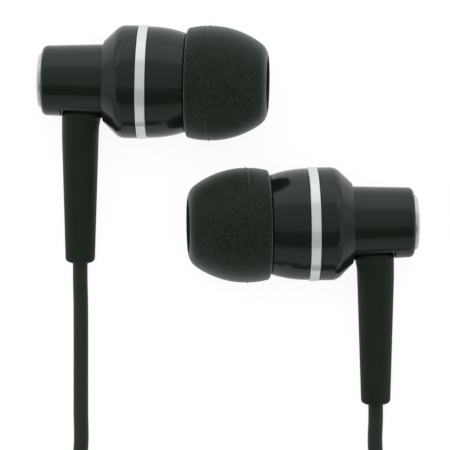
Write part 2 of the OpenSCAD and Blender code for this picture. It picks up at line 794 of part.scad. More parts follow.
module plug_boot() {
    boot_end_r = main_d / 2 + 0.5;
    boot_core_r = main_d / 2 + 0.35;
    first_groove = 1.2;
    pitch = (boot_len - 2) / boot_grooves;
    groove_w = pitch * 0.35;
    color("#20251f")
        place_plug()
            difference() {
                cylinder(r1 = boot_end_r, r2 = boot_r, h = boot_len);
                for (i = [0:boot_grooves - 1])
                    let (at = first_groove + i * pitch)
                        washer(boot_core_r, boot_r + cut_over, at, at + groove_w);
            }
}

module plug_grip() {
    color("#1c211d")
        place_plug()
            translate([0, 0, grip_start])
                rotate_extrude()
                    polygon([[0, 0], [grip_r - 0.9, 0], [grip_r - 0.4, 0.5],
                        [grip_r, grip_len * 0.35], [grip_r, grip_len - 0.5],
                        [grip_r - 0.5, grip_len], [0, grip_len]]);
}

module plug_sleeve_contact() {
    color("silver")
        place_plug()
            washer(core_r + 0.2, shank_r, shank_start, sleeve_contact_end);
}

module plug_insulators() {
    color("#15181a")
        place_plug() {
            washer(core_r, shank_r - 0.02, sleeve_contact_end, ring_contact_start);
            washer(core_r, shank_r - 0.02, ring_contact_start + ring_contact_len,
                tip_contact_start);
        }
}

module plug_ring_contact() {
    color("silver")
        place_plug()
            washer(core_r + 0.2, shank_r, ring_contact_start,
                ring_contact_start + ring_contact_len);
}

// The tip contact runs back through the shank as its core
module plug_tip_contact() {
    waist_r = shank_r - 0.45;
    waist_start = tip_contact_start + 0.9;
    waist_len = 0.4;
    point_len = 1.2;
    point_r = 0.45;
    bulge_start = waist_start + waist_len + 0.7;
    bulge_r = shank_r - 0.03;
    color("silver")
        place_plug()
            rotate_extrude()
                polygon([[0, shank_start], [core_r - 0.02, shank_start],
                    [core_r - 0.02, tip_contact_start], [shank_r, tip_contact_start],
                    [waist_r, waist_start], [waist_r, waist_start + waist_len],
                    [bulge_r, bulge_start], [bulge_r - 0.06, shank_end - point_len],
                    [point_r, shank_end], [0, shank_end]]);
}

// ---------------------------------------------------------------- nodes

place_earpiece("left") end_cap();  // left_end_cap
place_earpiece("left") rear_housing();  // left_rear_housing
place_earpiece("left") trim_ring();  // left_trim_ring
place_earpiece("left") front_housing();  // left_front_housing
place_earpiece("left") nozzle_screen();  // left_nozzle_screen
place_earpiece("left") ear_tip();  // left_ear_tip
place_earpiece("left") strain_relief();  // left_strain_relief
place_earpiece("left") inner_cord();  // left_inner_cord
place_earpiece("left") driver_frame();  // left_driver_frame
place_earpiece("left") yoke();  // left_yoke
place_earpiece("left") magnet();  // left_magnet
place_earpiece("left") pole_plate();  // left_pole_plate
place_earpiece("left") voice_coil();  // left_voice_coil
place_earpiece("left") diaphragm();  // left_diaphragm
place_earpiece("left") driver_cover();  // left_driver_cover
place_earpiece("left") terminal_board();  // left_terminal_board
place_earpiece("left") damping_felt();  // left_damping_felt

place_earpiece("right") end_cap();  // right_end_cap
place_earpiece("right") rear_housing();  // right_rear_housing
place_earpiece("right") trim_ring();  // right_trim_ring
place_earpiece("right") front_housing();  // right_front_housing
place_earpiece("right") nozzle_screen();  // right_nozzle_screen
place_earpiece("right") ear_tip();  // right_ear_tip
place_earpiece("right") strain_relief();  // right_strain_relief
place_earpiece("right") inner_cord();  // right_inner_cord
place_earpiece("right") driver_frame();  // right_driver_frame
place_earpiece("right") yoke();  // right_yoke
place_earpiece("right") magnet();  // right_magnet
place_earpiece("right") pole_plate();  // right_pole_plate
place_earpiece("right") voice_coil();  // right_voice_coil
place_earpiece("right") diaphragm();  // right_diaphragm
place_earpiece("right") driver_cover();  // right_driver_cover
place_earpiece("right") terminal_board();  // right_terminal_board
place_earpiece("right") damping_felt();  // right_damping_felt

branch_cord(left_upper_route);  // left_cord_upper
wound_coil(left_wound, "left");  // left_coil
branch_cord(left_lower_route);  // left_cord_lower
coil_tie(left_wound, 90);  // left_coil_tie
mirrored() branch_cord(right_upper_route);  // right_cord_upper
mirrored() wound_coil(right_wound, "right");  // right_coil
mirrored() branch_cord(right_lower_route);  // right_cord_lower
mirrored() coil_tie(right_wound, 90);  // right_coil_tie

splitter();
main_cord(main_upper_route);  // main_cord_upper
wound_coil(main_wound, "main");  // main_coil
main_cord(main_lower_route);  // main_cord_lower
coil_tie(main_wound, 0);  // main_coil_tie
plug_boot();
plug_grip();
plug_sleeve_contact();
plug_insulators();
plug_ring_contact();
plug_tip_contact();
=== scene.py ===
"""Wired in-ear earphones: two mirrored earpieces, their wound cords, a splitter and a jack plug.

Sizes in the code are in millimetres where they are multiplied by MM, and in metres elsewhere.
"""

import functools
import json
import math
from types import SimpleNamespace

import bpy
import numpy as np
from bpy.props import FloatProperty, FloatVectorProperty, IntProperty, PointerProperty
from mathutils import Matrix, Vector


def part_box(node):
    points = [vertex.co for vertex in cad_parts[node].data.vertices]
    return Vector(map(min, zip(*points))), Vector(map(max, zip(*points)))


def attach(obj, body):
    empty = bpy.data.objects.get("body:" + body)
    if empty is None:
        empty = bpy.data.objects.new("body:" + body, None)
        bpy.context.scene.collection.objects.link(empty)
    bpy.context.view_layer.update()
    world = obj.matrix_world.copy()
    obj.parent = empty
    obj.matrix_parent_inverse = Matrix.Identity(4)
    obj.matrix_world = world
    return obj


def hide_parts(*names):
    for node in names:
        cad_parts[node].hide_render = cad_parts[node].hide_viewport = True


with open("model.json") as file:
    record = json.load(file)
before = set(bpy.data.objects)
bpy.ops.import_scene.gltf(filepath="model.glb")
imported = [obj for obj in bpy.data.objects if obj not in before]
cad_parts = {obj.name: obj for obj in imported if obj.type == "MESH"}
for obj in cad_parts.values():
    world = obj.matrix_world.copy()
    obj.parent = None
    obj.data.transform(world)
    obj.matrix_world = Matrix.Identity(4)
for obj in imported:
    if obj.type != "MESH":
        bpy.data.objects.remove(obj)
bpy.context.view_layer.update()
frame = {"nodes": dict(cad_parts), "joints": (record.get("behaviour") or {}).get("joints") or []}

bl_info = {
    "name": "Wired earphones",
    "version": (1, 0, 0),
    "blender": (4, 5, 0),
    "location": "View3D > Sidebar > Earphones",
    "description": "Dresses a pair of wired in-ear earphones on its measured frame",
    "category": "Add Mesh",
}

MM = 0.001
SIDES = ("left", "right")
MIRROR = np.array([-1, 1, 1])


# ---------------------------------------------------------------- sizes and colours


def length(name, description, millimetres):
    """A property that holds a length in metres."""
    return FloatProperty(
        name=name, description=description, default=millimetres * MM, min=0.0, precision=5, unit="LENGTH"
    )


def number(name, description, default, least):
    """A property that holds a whole number."""
    return IntProperty(name=name, description=description, default=default, min=least)


def colour(name, description, red, green, blue):
    """A property that holds a linear colour."""
    shade = (red, green, blue, 1.0)
    return FloatVectorProperty(
        name=name, description=description, default=shade, size=4, min=0.0, max=1.0, subtype="COLOR"
    )


class HousingSizes(bpy.types.PropertyGroup):
    """Sizes of the cap, the two shells, the bright ring and the nozzle, along an earpiece's axis."""

    cap_radius: length("Cap radius", "Radius of the metal cap in the neck", 2.95)
    cap_rise: length("Cap rise", "Height of the cap above the neck's rim", 0.62)
    cap_dome: length("Cap dome", "Height of the dome of the cap's face", 0.2)
    cap_edge: length("Cap edge", "Depth of the cap's edge in the neck", 0.78)
    neck_start: length("Neck start", "Distance from the frame's cap to the neck's rear end", 0.56)
    neck_rear: length("Neck radius, rear", "Radius of the neck beside the cap", 3.74)
    neck_front: length("Neck radius, front", "Radius of the neck beside the cone", 3.98)
    neck_length: length("Neck length", "Length of the neck", 6.6)
    neck_edge: length("Neck edge", "Rounding of the neck's rear edge", 0.58)
    cone_rear: length("Cone radius, rear", "Radius at the step between the neck and the cone", 4.34)
    cone_length: length("Cone length", "Length of the cone", 1.79)
    shell_radius: length("Shell radius", "Radius of the back shell", 6.07)
    shell_edge: length("Shell edge", "Rounding between the cone and the back shell", 1.5)
    shell_length: length("Shell length", "Length of the back shell", 1.9)
    ring_width: length("Ring width", "Width of the bright ring", 1.155)
    ring_proud: length("Ring height", "How far the ring stands out of the shells", 0.05)
    front_length: length("Front length", "Length of the tapering front shell", 3.975)
    front_radius: length("Front radius", "Radius of the front shell beside the ring", 5.99)
    front_arc: length("Front arc", "Radius of the arc that the front shell tapers along", 12.3)
    nozzle_radius: length("Nozzle radius", "Radius of the nozzle's stem", 2.3)
    nozzle_length: length("Nozzle length", "Length of the nozzle", 5.55)


class SoftSizes(bpy.types.PropertyGroup):
    """Sizes of the silicone ear tip and the strain relief."""

    tip_radius: length("Tip radius", "Largest radius of the ear tip", 6.17)
    tip_arc: length("Tip arc", "Radius of the arc of the ear tip's side", 9.3)
    tip_widest: length("Tip widest", "Distance from the ear tip's rear rim to its seam line", 2.46)
    tip_nose: length("Tip nose", "Length of the ear tip beyond the nozzle", 3.32)
    tip_shoulder: length("Tip shoulder", "Radius of the ear tip's rounding before its mouth", 2.0)
    mouth_radius: length("Mouth radius", "Radius of the ear tip's mouth", 3.03)
    seam_height: length("Seam height", "Height of the moulded seam line round the ear tip", 0.05)
    skirt_wall: length("Skirt wall", "Thickness of the ear tip's skirt", 0.75)
    relief_at: length("Relief place", "Distance from the frame's cap to the strain relief's axis", 4.65)
    relief_reach: length("Relief reach", "Distance from the earpiece's axis to the relief's end", 19.85)
    relief_seat: length("Relief seat", "Level distance from the earpiece's axis to the relief's notch", 3.26)
    relief_notch: length("Relief notch", "Length of the notch behind the strain relief's axis", 1.99)
    relief_slot: length("Relief slot", "Width of the slot between the notch and the strain relief", 0.24)
    relief_top: length("Relief top radius", "Radius of the strain relief below its flare", 1.98)
    relief_end: length("Relief end radius", "Radius of the strain relief at its end", 1.58)
    relief_flare: length("Relief flare", "How far the flare stands out on the cone's side", 0.52)
    relief_roll: FloatProperty(
        name="Relief roll",
        description="Angle between the strain relief and the table",
        default=math.radians(12.2025),
        subtype="ANGLE",
    )


class CordSizes(bpy.types.PropertyGroup):
    """Sizes of the cords, their ties and the splitter."""

    branch_diameter: length("Branch cord", "Diameter of the two branch cords", 1.6)
    main_diameter: length("Main cord", "Diameter of the main cord", 2.0)
    turn_gap: length("Turn gap", "Spacing of a coil's turns beyond the cord's diameter", 0.45)
    tie_width: length("Tie width", "Width of each coil's tie", 3.0)
    tie_thickness: length("Tie thickness", "Thickness of each coil's tie", 0.4)
    tie_gap: length("Tie gap", "Clearance between a coil and its tie", 0.25)
    splitter_length: length("Splitter length", "Length of the splitter", 16.0)
    splitter_head: length("Splitter head", "Length of the splitter's straight head", 7.0)
    splitter_wall: length("Splitter wall", "Wall of the splitter round the cords", 0.9)
    branch_pitch: length("Branch pitch", "Distance between the two branches in the splitter", 2.2)


class PlugSizes(bpy.types.PropertyGroup):
    """Sizes of the stereo jack plug."""

    boot_length: length("Boot length", "Length of the plug's strain relief", 9.0)
    boot_radius: length("Boot radius", "Radius of the plug's strain relief at the grip", 2.5)
    boot_grooves: number("Boot grooves", "Grooves in the plug's strain relief", 4, 1)
    grip_radius: length("Grip radius", "Largest radius of the grip", 3.9)
    grip_length: length("Grip length", "Length of the grip", 15.0)
    grip_flutes: number("Grip flutes", "Flutes round the grip", 24, 3)
    shank_radius: length("Shank radius", "Radius of the shank", 1.75)
    shank_length: length("Shank length", "Length of the shank", 14.0)
    band_width: length("Band width", "Width of each insulating band", 0.6)
    ring_contact: length("Ring contact", "Length of the ring contact", 2.2)
    tip_contact: length("Tip contact", "Length of the tip contact", 3.6)


class Colours(bpy.types.PropertyGroup):
    """Base colours of the finishes."""

    shell: colour("Shells", "Glossy black moulded plastic", 0.0075, 0.0115, 0.0075)
    silicone: colour("Ear tips", "Matte black silicone", 0.0084, 0.0145, 0.0087)
    rubber: colour("Strain reliefs", "Satin black moulded rubber", 0.0115, 0.018, 0.0112)
    jacket: colour("Cords", "Satin black cord jacket", 0.013, 0.0215, 0.0132)
    ring: colour("Bright rings", "Bright satin metal", 0.85, 0.9, 0.87)
    cap: colour("End caps", "Spun bright metal", 0.78, 0.8, 0.79)
    contact: colour("Plug contacts", "Polished plated contacts", 0.8, 0.78, 0.73)


class Earphones(bpy.types.PropertyGroup):
    """Everything that can be set on the earphones."""

    housing: PointerProperty(type=HousingSizes)
    soft: PointerProperty(type=SoftSizes)
    cords: PointerProperty(type=CordSizes)
    plug: PointerProperty(type=PlugSizes)
    colours: PointerProperty(type=Colours)


def settings():
    """The sizes and colours as they are set."""
    return bpy.context.scene.earphones


# How far the ear tip's rear rim stays from the front shell.
TIP_CLEARANCE = 0.12 * MM


def stations():
    """Places along an earpiece's axis, in metres from the rear end of the frame's cap."""
    housing, soft = settings().housing, settings().soft
    neck_end = housing.neck_start + housing.neck_length
    shell_start = neck_end + housing.cone_length
    shell_end = shell_start + housing.shell_length
    front_start = shell_end + housing.ring_width
    front_end = front_start + housing.front_length
    nozzle_end = front_end + housing.nozzle_length
    tip_start = front_end + TIP_CLEARANCE
    return SimpleNamespace(
        neck_start=housing.neck_start,
        neck_end=neck_end,
        shell_start=shell_start,
        shell_end=shell_end,
        front_start=front_start,
        front_end=front_end,
        nozzle_end=nozzle_end,
        tip_start=tip_start,
        tip_middle=tip_start + soft.tip_widest,
        tip_end=nozzle_end + soft.tip_nose,
    )


# ---------------------------------------------------------------- places


def unit(vectors):
    """Vectors divided by their lengths."""
    return vectors / np.linalg.norm(vectors, axis=-1, keepdims=True)


# Half the width of the frame's ring, and how far the right earpiece lies from its solids.
RING_HALF = 0.55 * MM
RIGHT_SHIFT = np.array([0.02, 0.055, 0]) * MM


def earpiece_place(side):
    """Turn and shift that lay an earpiece on the table.

    The local z axis is the earpiece's own, from the cap to the ear tip, and the strain relief runs
    along local -y. The columns of the turn are the local axes seen from the table; on the right
    they form the mirror image of the left ones.
    """
    hand = 1 if side == "left" else -1
    joint = next(j for j in frame["joints"] if j["name"] == f"{side}_ear_tip_pull")
    along = unit(np.array(joint["axis"], float))
    up = unit(np.array([0, 0, 1]) - along[2] * along)
    across = np.cross(up, along) * hand
    roll = settings().soft.relief_roll
    y_axis = across * math.cos(roll) + up * math.sin(roll)
    x_axis = np.cross(y_axis, along) * hand
    low, high = (np.array(corner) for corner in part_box(f"{side}_trim_ring"))
    shift = (low + high) / 2 - (stations().shell_end + RING_HALF) * along
    if side == "right":
        shift = shift + RIGHT_SHIFT
    return np.stack([x_axis, y_axis, along], axis=1), shift


PLUG_START = np.array([17.0, -106.0, 3.9]) * MM


def plug_place():
    """Turn and shift that lay the plug on the table: its local z axis points along +Y."""
    return np.array([[1.0, 0, 0], [0, 0, 1.0], [0, -1.0, 0]]), PLUG_START


def placed(points, place):
    """Points turned and shifted by a place."""
    turn, shift = place
    return points @ turn.T + shift


# ---------------------------------------------------------------- surfaces


def smooth(t):
    """3 t squared less 2 t cubed, held between 0 and 1."""
    t = np.clip(t, 0, 1)
    return t * t * (3 - 2 * t)


def around(count):
    """Angles in equal steps all the way round."""
    return np.linspace(0, 2 * math.pi, count, endpoint=False)


def grid(*values):
    """Points from their x, y and z, each of which may stand for a whole row or column."""
    return np.stack(np.broadcast_arrays(*values), axis=-1)


def boxy(wave, power):
    """A sine or cosine held nearer to -1 and 1: its sign times a power of its size."""
    return np.sign(wave) * np.abs(wave) ** power


def bell(distance, width):
    """A bell curve: e to the power of minus the squared share of the width."""
    return np.exp(-((distance / width) ** 2))


def arc_of(middle, station, radius, angles):
    """Profile points of an arc, without fillets: its middle plus the radius times cosine and sine."""
    return grid(middle + radius * np.cos(angles), station + radius * np.sin(angles), 0)


def rounded(corners, looped=True, steps=5):
    """Rounds the corners of a profile and returns it in metres.

    Each corner is (radius, station, fillet) in metres. An arc of the fillet's radius touches both
    sides of the corner: it starts fillet / tan(half the corner's angle) before it and turns round a
    centre on the bisector. A support point just outside each end of the arc keeps the sides flat.
    """
    support = 0.06 * MM
    corners = np.array(corners, float)
    spots, fillets = corners[:, :2], corners[:, 2]
    back, ahead = np.roll(spots, 1, axis=0) - spots, np.roll(spots, -1, axis=0) - spots
    room_back, room_ahead = np.linalg.norm(back, axis=1), np.linalg.norm(ahead, axis=1)
    back, ahead = back / room_back[:, None], ahead / room_ahead[:, None]
    half = np.arccos(np.clip((back * ahead).sum(axis=1), -1, 1)) / 2
    if not looped:
        fillets[[0, -1]] = 0
    cuts = np.where(fillets > 0, fillets / np.tan(half), 0)
    free_back = room_back - cuts - np.roll(cuts, 1)
    free_ahead = room_ahead - cuts - np.roll(cuts, -1)
    made = []
    for i, spot in enumerate(spots):
        if fillets[i] <= 0:
            made.append(spot[None])
            continue
        centre = spot + unit(back[i] + ahead[i]) * fillets[i] / math.sin(half[i])
        first, last = spot + back[i] * cuts[i], spot + ahead[i] * cuts[i]
        start = math.atan2(*(first - centre)[::-1])
        turn = (math.atan2(*(last - centre)[::-1]) - start + math.pi) % (2 * math.pi) - math.pi
        angles = start + turn * np.linspace(0, 1, steps + 1)
        arc = centre + fillets[i] * np.stack([np.cos(angles), np.sin(angles)], axis=1)
        before = first + back[i] * min(support, free_back[i] / 3)
        after = last + ahead[i] * min(support, free_ahead[i] / 3)
        made.append(np.vstack([before, arc, after]))
    return np.vstack(made)


def refined(profile, longest, looped=True):
    """Splits each side of a profile into equal steps no longer than the longest allowed."""
    ends = np.vstack([profile, profile[:1]]) if looped else profile
    steps = np.maximum(np.ceil(np.linalg.norm(np.diff(ends, axis=0), axis=1) / longest), 1).astype(int)
    first = np.repeat(np.arange(len(steps)), steps)
    t = (np.arange(len(first)) - np.repeat(np.cumsum(steps) - steps, steps)) / steps[first]
    made = ends[first] + (ends[first + 1] - ends[first]) * t[:, None]
    return made if looped else np.vstack([made, ends[-1:]])


def lathe(profile, columns=192):
    """Carries a profile of (radius, station) round the z axis: x = r cos a, y = r sin a, z = station."""
    a = around(columns)
    r, z = profile[:, :1], profile[:, 1:]
    return grid(r * np.cos(a), r * np.sin(a), z)


def tube(path, radius, sides, upright=(0, 0, 1)):
    """Carries a circle along a path, and gives the rows and the same rows pulled out straight.

    Each ring lies square to the path: its points are centre + r (s cos a + u sin a), where s is
    the tangent crossed with the upright direction and u is s crossed with the tangent. The ends
    are closed by their centres. The straight copy holds (r cos a, r sin a, distance along).
    """
    tangent = unit(np.gradient(path, axis=0))
    s = unit(np.cross(tangent, np.array(upright, float)))
    u = np.cross(s, tangent)
    a = around(sides)
    radius = np.broadcast_to(radius, len(path))[:, None]
    across, over = radius * np.cos(a), radius * np.sin(a)
    rows = path[:, None] + across[..., None] * s[:, None] + over[..., None] * u[:, None]
    along = np.concatenate([[0], np.cumsum(np.linalg.norm(np.diff(path, axis=0), axis=1))])
    straight = grid(across, over, along[:, None])
    return with_ends(rows), with_ends(straight)


def with_ends(rows):
    """Rows with a row at the middle of the first ring before them, and one of the last after them."""
    ends = np.broadcast_to(rows[[0, -1]].mean(axis=1, keepdims=True), (2, *rows.shape[1:]))
    return np.concatenate([ends[:1], rows, ends[1:]])


def curve_through(points, spacing):
    """A smooth curve through points, sampled at equal steps of about the spacing.

    Each stretch is a cubic h00 p + h10 h m + h01 q + h11 h n, whose end slopes m and n are the
    mean of the slopes on both sides, each weighted by the other side's length.
    """
    steps = np.linalg.norm(np.diff(points, axis=0), axis=1)
    at = np.concatenate([[0], np.cumsum(steps)])
    slopes = np.diff(points, axis=0) / steps[:, None]
    before, after = steps[:-1, None], steps[1:, None]
    inner = (slopes[:-1] * after + slopes[1:] * before) / (before + after)
    tangents = np.vstack([slopes[:1], inner, slopes[-1:]])
    s = np.linspace(0, at[-1], int(math.ceil(at[-1] / spacing)) + 1)
    i = np.clip(np.searchsorted(at, s, side="right") - 1, 0, len(steps) - 1)
    h = steps[i][:, None]
    t = ((s - at[i]) / steps[i])[:, None]
    return (
        (1 + 2 * t) * (1 - t) ** 2 * points[i]
        + t * (1 - t) ** 2 * h * tangents[i]
        + t * t * (3 - 2 * t) * points[i + 1]
        + t * t * (t - 1) * h * tangents[i + 1]
    )


def skin(rows, looped):
    """Faces between rows of points, each row a closed ring, with their fronts outwards.

    Where the rows are looped, the last joins the first. Otherwise the first and the last row have
    shrunk to a point, and triangles close them. The signed volume, the sum of a . (b x c) over
    the triangles, is negative where the faces look inwards, and then all of them are turned round.
    """
    body = rows if looped else rows[1:-1]
    points = body.reshape(-1, 3)
    index = np.arange(len(points)).reshape(body.shape[:2])
    fans = np.empty((0, 3), int)
    if looped:
        index = np.vstack([index, index[:1]])
    else:
        points = np.vstack([points, rows[0, :1], rows[-1, :1]])
        first, last = index[0], index[-1]
        pole = np.full_like(first, len(points) - 2)
        fans = np.vstack([
            np.stack([pole, np.roll(first, -1), first], axis=1),
            np.stack([pole + 1, last, np.roll(last, -1)], axis=1),
        ])
    low, high = index[:-1], index[1:]
    quads = np.stack([low, np.roll(low, -1, 1), np.roll(high, -1, 1), high], axis=-1).reshape(-1, 4)
    corners = np.vstack([quads[:, [0, 1, 2]], quads[:, [0, 2, 3]], fans])
    a, b, c = (points - points.mean(axis=0))[corners].transpose(1, 0, 2)
    if np.einsum("ij,ij->", a, np.cross(b, c)) < 0:
        quads, fans = quads[:, ::-1], fans[:, ::-1]
    return points, quads, fans


def stand(name, data, spot=(0.0, 0.0, 0.0)):
    """Puts an object into the scene."""
    made = bpy.data.objects.new(name, data)
    made.location = spot
    bpy.context.scene.collection.objects.link(made)
    return made


# Angle between faces, in degrees, past which the edge between them is drawn sharp.
SHARP = 38.0


def put(name, slot, parts, replaced, place=None, body="earphones", sharp=SHARP):
    """Makes a piece from parts, each (rows, looped) or (rows, looped, pattern rows).

    Its faces go into the mesh as whole arrays. The "local" attribute holds the unplaced points,
    or the pattern rows where they are given, for the patterns that follow the surface.
    """
    points, quads, fans, local, count = [], [], [], [], 0
    for rows, looped, *pattern in parts:
        spots = placed(rows, place) if place else rows
        made, four, three = skin(spots, looped)
        points.append(made)
        quads.append(four + count)
        fans.append(three + count)
        local.append(skin(pattern[0] if pattern else rows, looped)[0])
        count += len(made)
    points, quads, fans, local = (np.concatenate(found) for found in (points, quads, fans, local))
    mesh = bpy.data.meshes.new(name)
    mesh.vertices.add(len(points))
    mesh.vertices.foreach_set("co", points.ravel())
    corners = np.concatenate([quads.ravel(), fans.ravel()])
    starts = np.concatenate([np.arange(len(quads)) * 4, 4 * len(quads) + np.arange(len(fans)) * 3])
    mesh.loops.add(len(corners))
    mesh.polygons.add(len(starts))
    mesh.polygons.foreach_set("loop_start", starts.astype(np.int32))
    mesh.polygons.foreach_set("vertices", corners.astype(np.int32))
    mesh.update(calc_edges=True)
    if mesh.validate():
        raise ValueError(f"{name} has faces that can't be drawn")
    mesh.attributes.new("local", "FLOAT_VECTOR", "POINT").data.foreach_set("vector", local.ravel())
    mesh.shade_smooth()
    mesh.set_sharp_from_angle(angle=math.radians(sharp))
    mesh.materials.append(finish(slot))
    piece = stand(name, mesh)
    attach(piece, body)
    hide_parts(*replaced)
    return piece


def put_pair(name, slot, parts, replaced, body=None, sharp=SHARP):
    """Makes a piece in both earpieces, each in place of its side's node.

    It rides on the earphones' own body, or on each side's own one where that is named.
    """
    for side in SIDES:
        rides = f"{side}_{body}" if body else "earphones"
        put(f"{side}_{name}", slot, parts, [f"{side}_{replaced}"], earpiece_place(side), rides, sharp)


# ---------------------------------------------------------------- finishes


def node(tree, kind, inputs=None, **options):
    """Adds a shader node; each input is a value or another node's output."""
    made = tree.nodes.new(kind)
    for name, value in options.items():
        setattr(made, name, value)
    for name, value in (inputs or {}).items():
        if isinstance(value, bpy.types.NodeSocket):
            tree.links.new(value, made.inputs[name])
        else:
            made.inputs[name].default_value = value
    return made


def new_finish(name, **sockets):
    """A new material and the parts of it that a finish is built on."""
    material = bpy.data.materials.new(name)
    material.use_nodes = True
    tree = material.node_tree
    surface = tree.nodes["Principled BSDF"]
    for socket, value in sockets.items():
        surface.inputs[socket.replace("_", " ").title().replace("Ior", "IOR")].default_value = value
    return material, tree, surface


def where(tree, own):
    """The place on the piece: its own unplaced points, or the object's coordinates."""
    if own:
        return node(tree, "ShaderNodeAttribute", attribute_name="local").outputs["Vector"]
    return node(tree, "ShaderNodeTexCoord").outputs["Object"]


def reckon(tree, operation, *values):
    """Works out one sum of values in the shader."""
    return node(tree, "ShaderNodeMath", dict(enumerate(values)), operation=operation).outputs[0]


def spread(tree, value, low, high, start=0.3, end=0.7):
    """The value between start and end, spread from low to high."""
    inputs = {"Value": value, "From Min": start, "From Max": end, "To Min": low, "To Max": high}
    return node(tree, "ShaderNodeMapRange", inputs).outputs[0]


def blend(tree, share, first, second):
    """Mixes two shaders."""
    return node(tree, "ShaderNodeMixShader", {0: share, 1: first, 2: second}).outputs[0]


# Noise that isn't stretched, and the detail of the finest noise.
EVEN = (1, 1, 1)
FINE = 3.0


def grain(tree, place, size, stretch=EVEN, detail=2.0):
    """Noise whose features are about one size, in metres, stretched along the axes."""
    scale = [1 / (size * s) for s in stretch]
    mapped = node(tree, "ShaderNodeMapping", {"Vector": place, "Scale": scale}).outputs[0]
    return node(tree, "ShaderNodeTexNoise", {"Vector": mapped, "Scale": 1.0, "Detail": detail}).outputs[0]


def two_tone(tree, surface, share, first, second):
    """Mixes two colours into the surface's base colour."""
    mix = node(tree, "ShaderNodeMix", data_type="RGBA")
    mix.inputs[6].default_value, mix.inputs[7].default_value = first, second
    tree.links.new(share, mix.inputs[0])
    tree.links.new(mix.outputs[2], surface.inputs["Base Color"])


def texture(tree, surface, height, rough, depth):
    """Lets a height of 0 to 1 set the roughness and bump the surface by the depth, in metres."""
    tree.links.new(spread(tree, height, *rough), surface.inputs["Roughness"])
    bump = node(tree, "ShaderNodeBump", {"Height": height, "Distance": depth, "Strength": 1.0})
    tree.links.new(bump.outputs[0], surface.inputs["Normal"])


def lighter(shade, times):
    """A colour times a number."""
    return (*(min(c * times, 1.0) for c in shade[:3]), 1.0)


def grey(level):
    """A neutral colour."""
    return (level, level, level, 1.0)


def moulded(name, shade, rough, patch, pit, depth, own=False, stretch=EVEN, **sockets):
    """Moulded plastic or rubber: cloudy tone over patches, and fine pits that vary its gloss."""
    material, tree, surface = new_finish(name, **sockets)
    place = where(tree, own)
    two_tone(tree, surface, grain(tree, place, patch * MM), lighter(shade, 0.8), lighter(shade, 1.2))
    texture(tree, surface, grain(tree, place, pit * MM, stretch, FINE), rough, depth * MM)
    return material


def metal(name, shade, rough, size, stretch, depth, own=True, metallic=1.0):
    """Metal with fine tool lines that run across the stretched axes."""
    material, tree, surface = new_finish(name, metallic=metallic)
    lines = grain(tree, where(tree, own), size * MM, stretch, FINE)
    two_tone(tree, surface, lines, lighter(shade, 0.94), lighter(shade, 1.04))
    texture(tree, surface, lines, rough, depth * MM)
    return material


def spun_metal(name, shade):
    """Spun metal: fine rings round the axis, from noise along the distance to it."""
    material, tree, surface = new_finish(name, metallic=0.7)
    flat = node(tree, "ShaderNodeVectorMath", {0: where(tree, True), 1: (1, 1, 0)}, operation="MULTIPLY")
    radius = node(tree, "ShaderNodeVectorMath", {0: flat.outputs[0]}, operation="LENGTH").outputs["Value"]
    fine = {"W": radius, "Scale": 1 / (0.05 * MM), "Detail": FINE}
    rings = node(tree, "ShaderNodeTexNoise", fine, noise_dimensions="1D").outputs[0]
    two_tone(tree, surface, rings, lighter(shade, 0.85), lighter(shade, 1.05))
    texture(tree, surface, rings, (0.14, 0.24), 0.006 * MM)
    return material


def speckled_silicone(name, shade):
    """Matte silicone: a dark body with fine paler grains, and a powdery skin."""
    powder = {"sheen_weight": 0.42, "sheen_roughness": 0.4, "sheen_tint": (0.85, 1.0, 0.88, 1.0)}
    material, tree, surface = new_finish(name, specular_ior_level=0.2, **powder)
    place = where(tree, False)
    grains = grain(tree, place, 0.22 * MM, detail=FINE)
    cloud = spread(tree, grain(tree, place, 1.6 * MM), 0.0, 0.2)
    share = reckon(tree, "ADD", spread(tree, grains, 0.0, 0.8, 0.38, 0.64), cloud)
    two_tone(tree, surface, share, lighter(shade, 0.4), lighter(shade, 1.75))
    texture(tree, surface, grains, (0.42, 0.62), 0.03 * MM)
    return material


# The moulded finishes: the colour, or the name of the one that can be set, the roughness from and
# to, and in millimetres the size of the cloudy patches and the size and depth of the fine pits.
MOULDED = {
    "gloss_black": ("shell", (0.11, 0.19), 4, 0.35, 0.0012),
    "satin_rubber": ("rubber", (0.38, 0.5), 2.5, 0.12, 0.006),
    "cord_jacket": ("jacket", (0.4, 0.55), 2, 0.07, 0.006),
    "tie_rubber": ((0.013, 0.015, 0.014), (0.55, 0.75), 1.5, 0.16, 0.02),
    "black_plastic": ((0.01, 0.011, 0.012), (0.3, 0.42), 1.5, 0.12, 0.003),
    "grey_plastic": ((0.06, 0.07, 0.06), (0.42, 0.58), 2, 0.15, 0.006),
    "wire_jacket": ((0.05, 0.038, 0.03), (0.35, 0.55), 1.2, 0.1, 0.006),
    "felt": ((0.55, 0.52, 0.44), (0.85, 0.98), 0.9, 0.09, 0.05),
    "board": ((0.03, 0.16, 0.06), (0.2, 0.4), 0.7, 0.1, 0.004),
    "film": ((0.6, 0.62, 0.65), (0.06, 0.16), 1.8, 0.5, 0.008),
}

# The metals: colour and roughness as above, the size of the tool lines in millimetres, how far
# they are drawn out along x, y and z, and their depth in millimetres.
METALS = {
    "trim_metal": ("ring", (0.08, 0.15), 0.04, (60, 60, 1), 0.0015),
    "steel_mesh": ((0.42, 0.43, 0.43), (0.25, 0.4), 0.05, EVEN, 0.004),
    "plated_steel": ((0.55, 0.56, 0.57), (0.3, 0.45), 0.25, EVEN, 0.004),
    "magnet": ((0.4, 0.41, 0.43), (0.2, 0.32), 0.3, EVEN, 0.004),
    "copper": ((0.72, 0.35, 0.12), (0.25, 0.35), 0.05, (30, 30, 1), 0.004),
    "plated_contact": ("contact", (0.1, 0.2), 0.05, (1, 1, 24), 0.001),
}

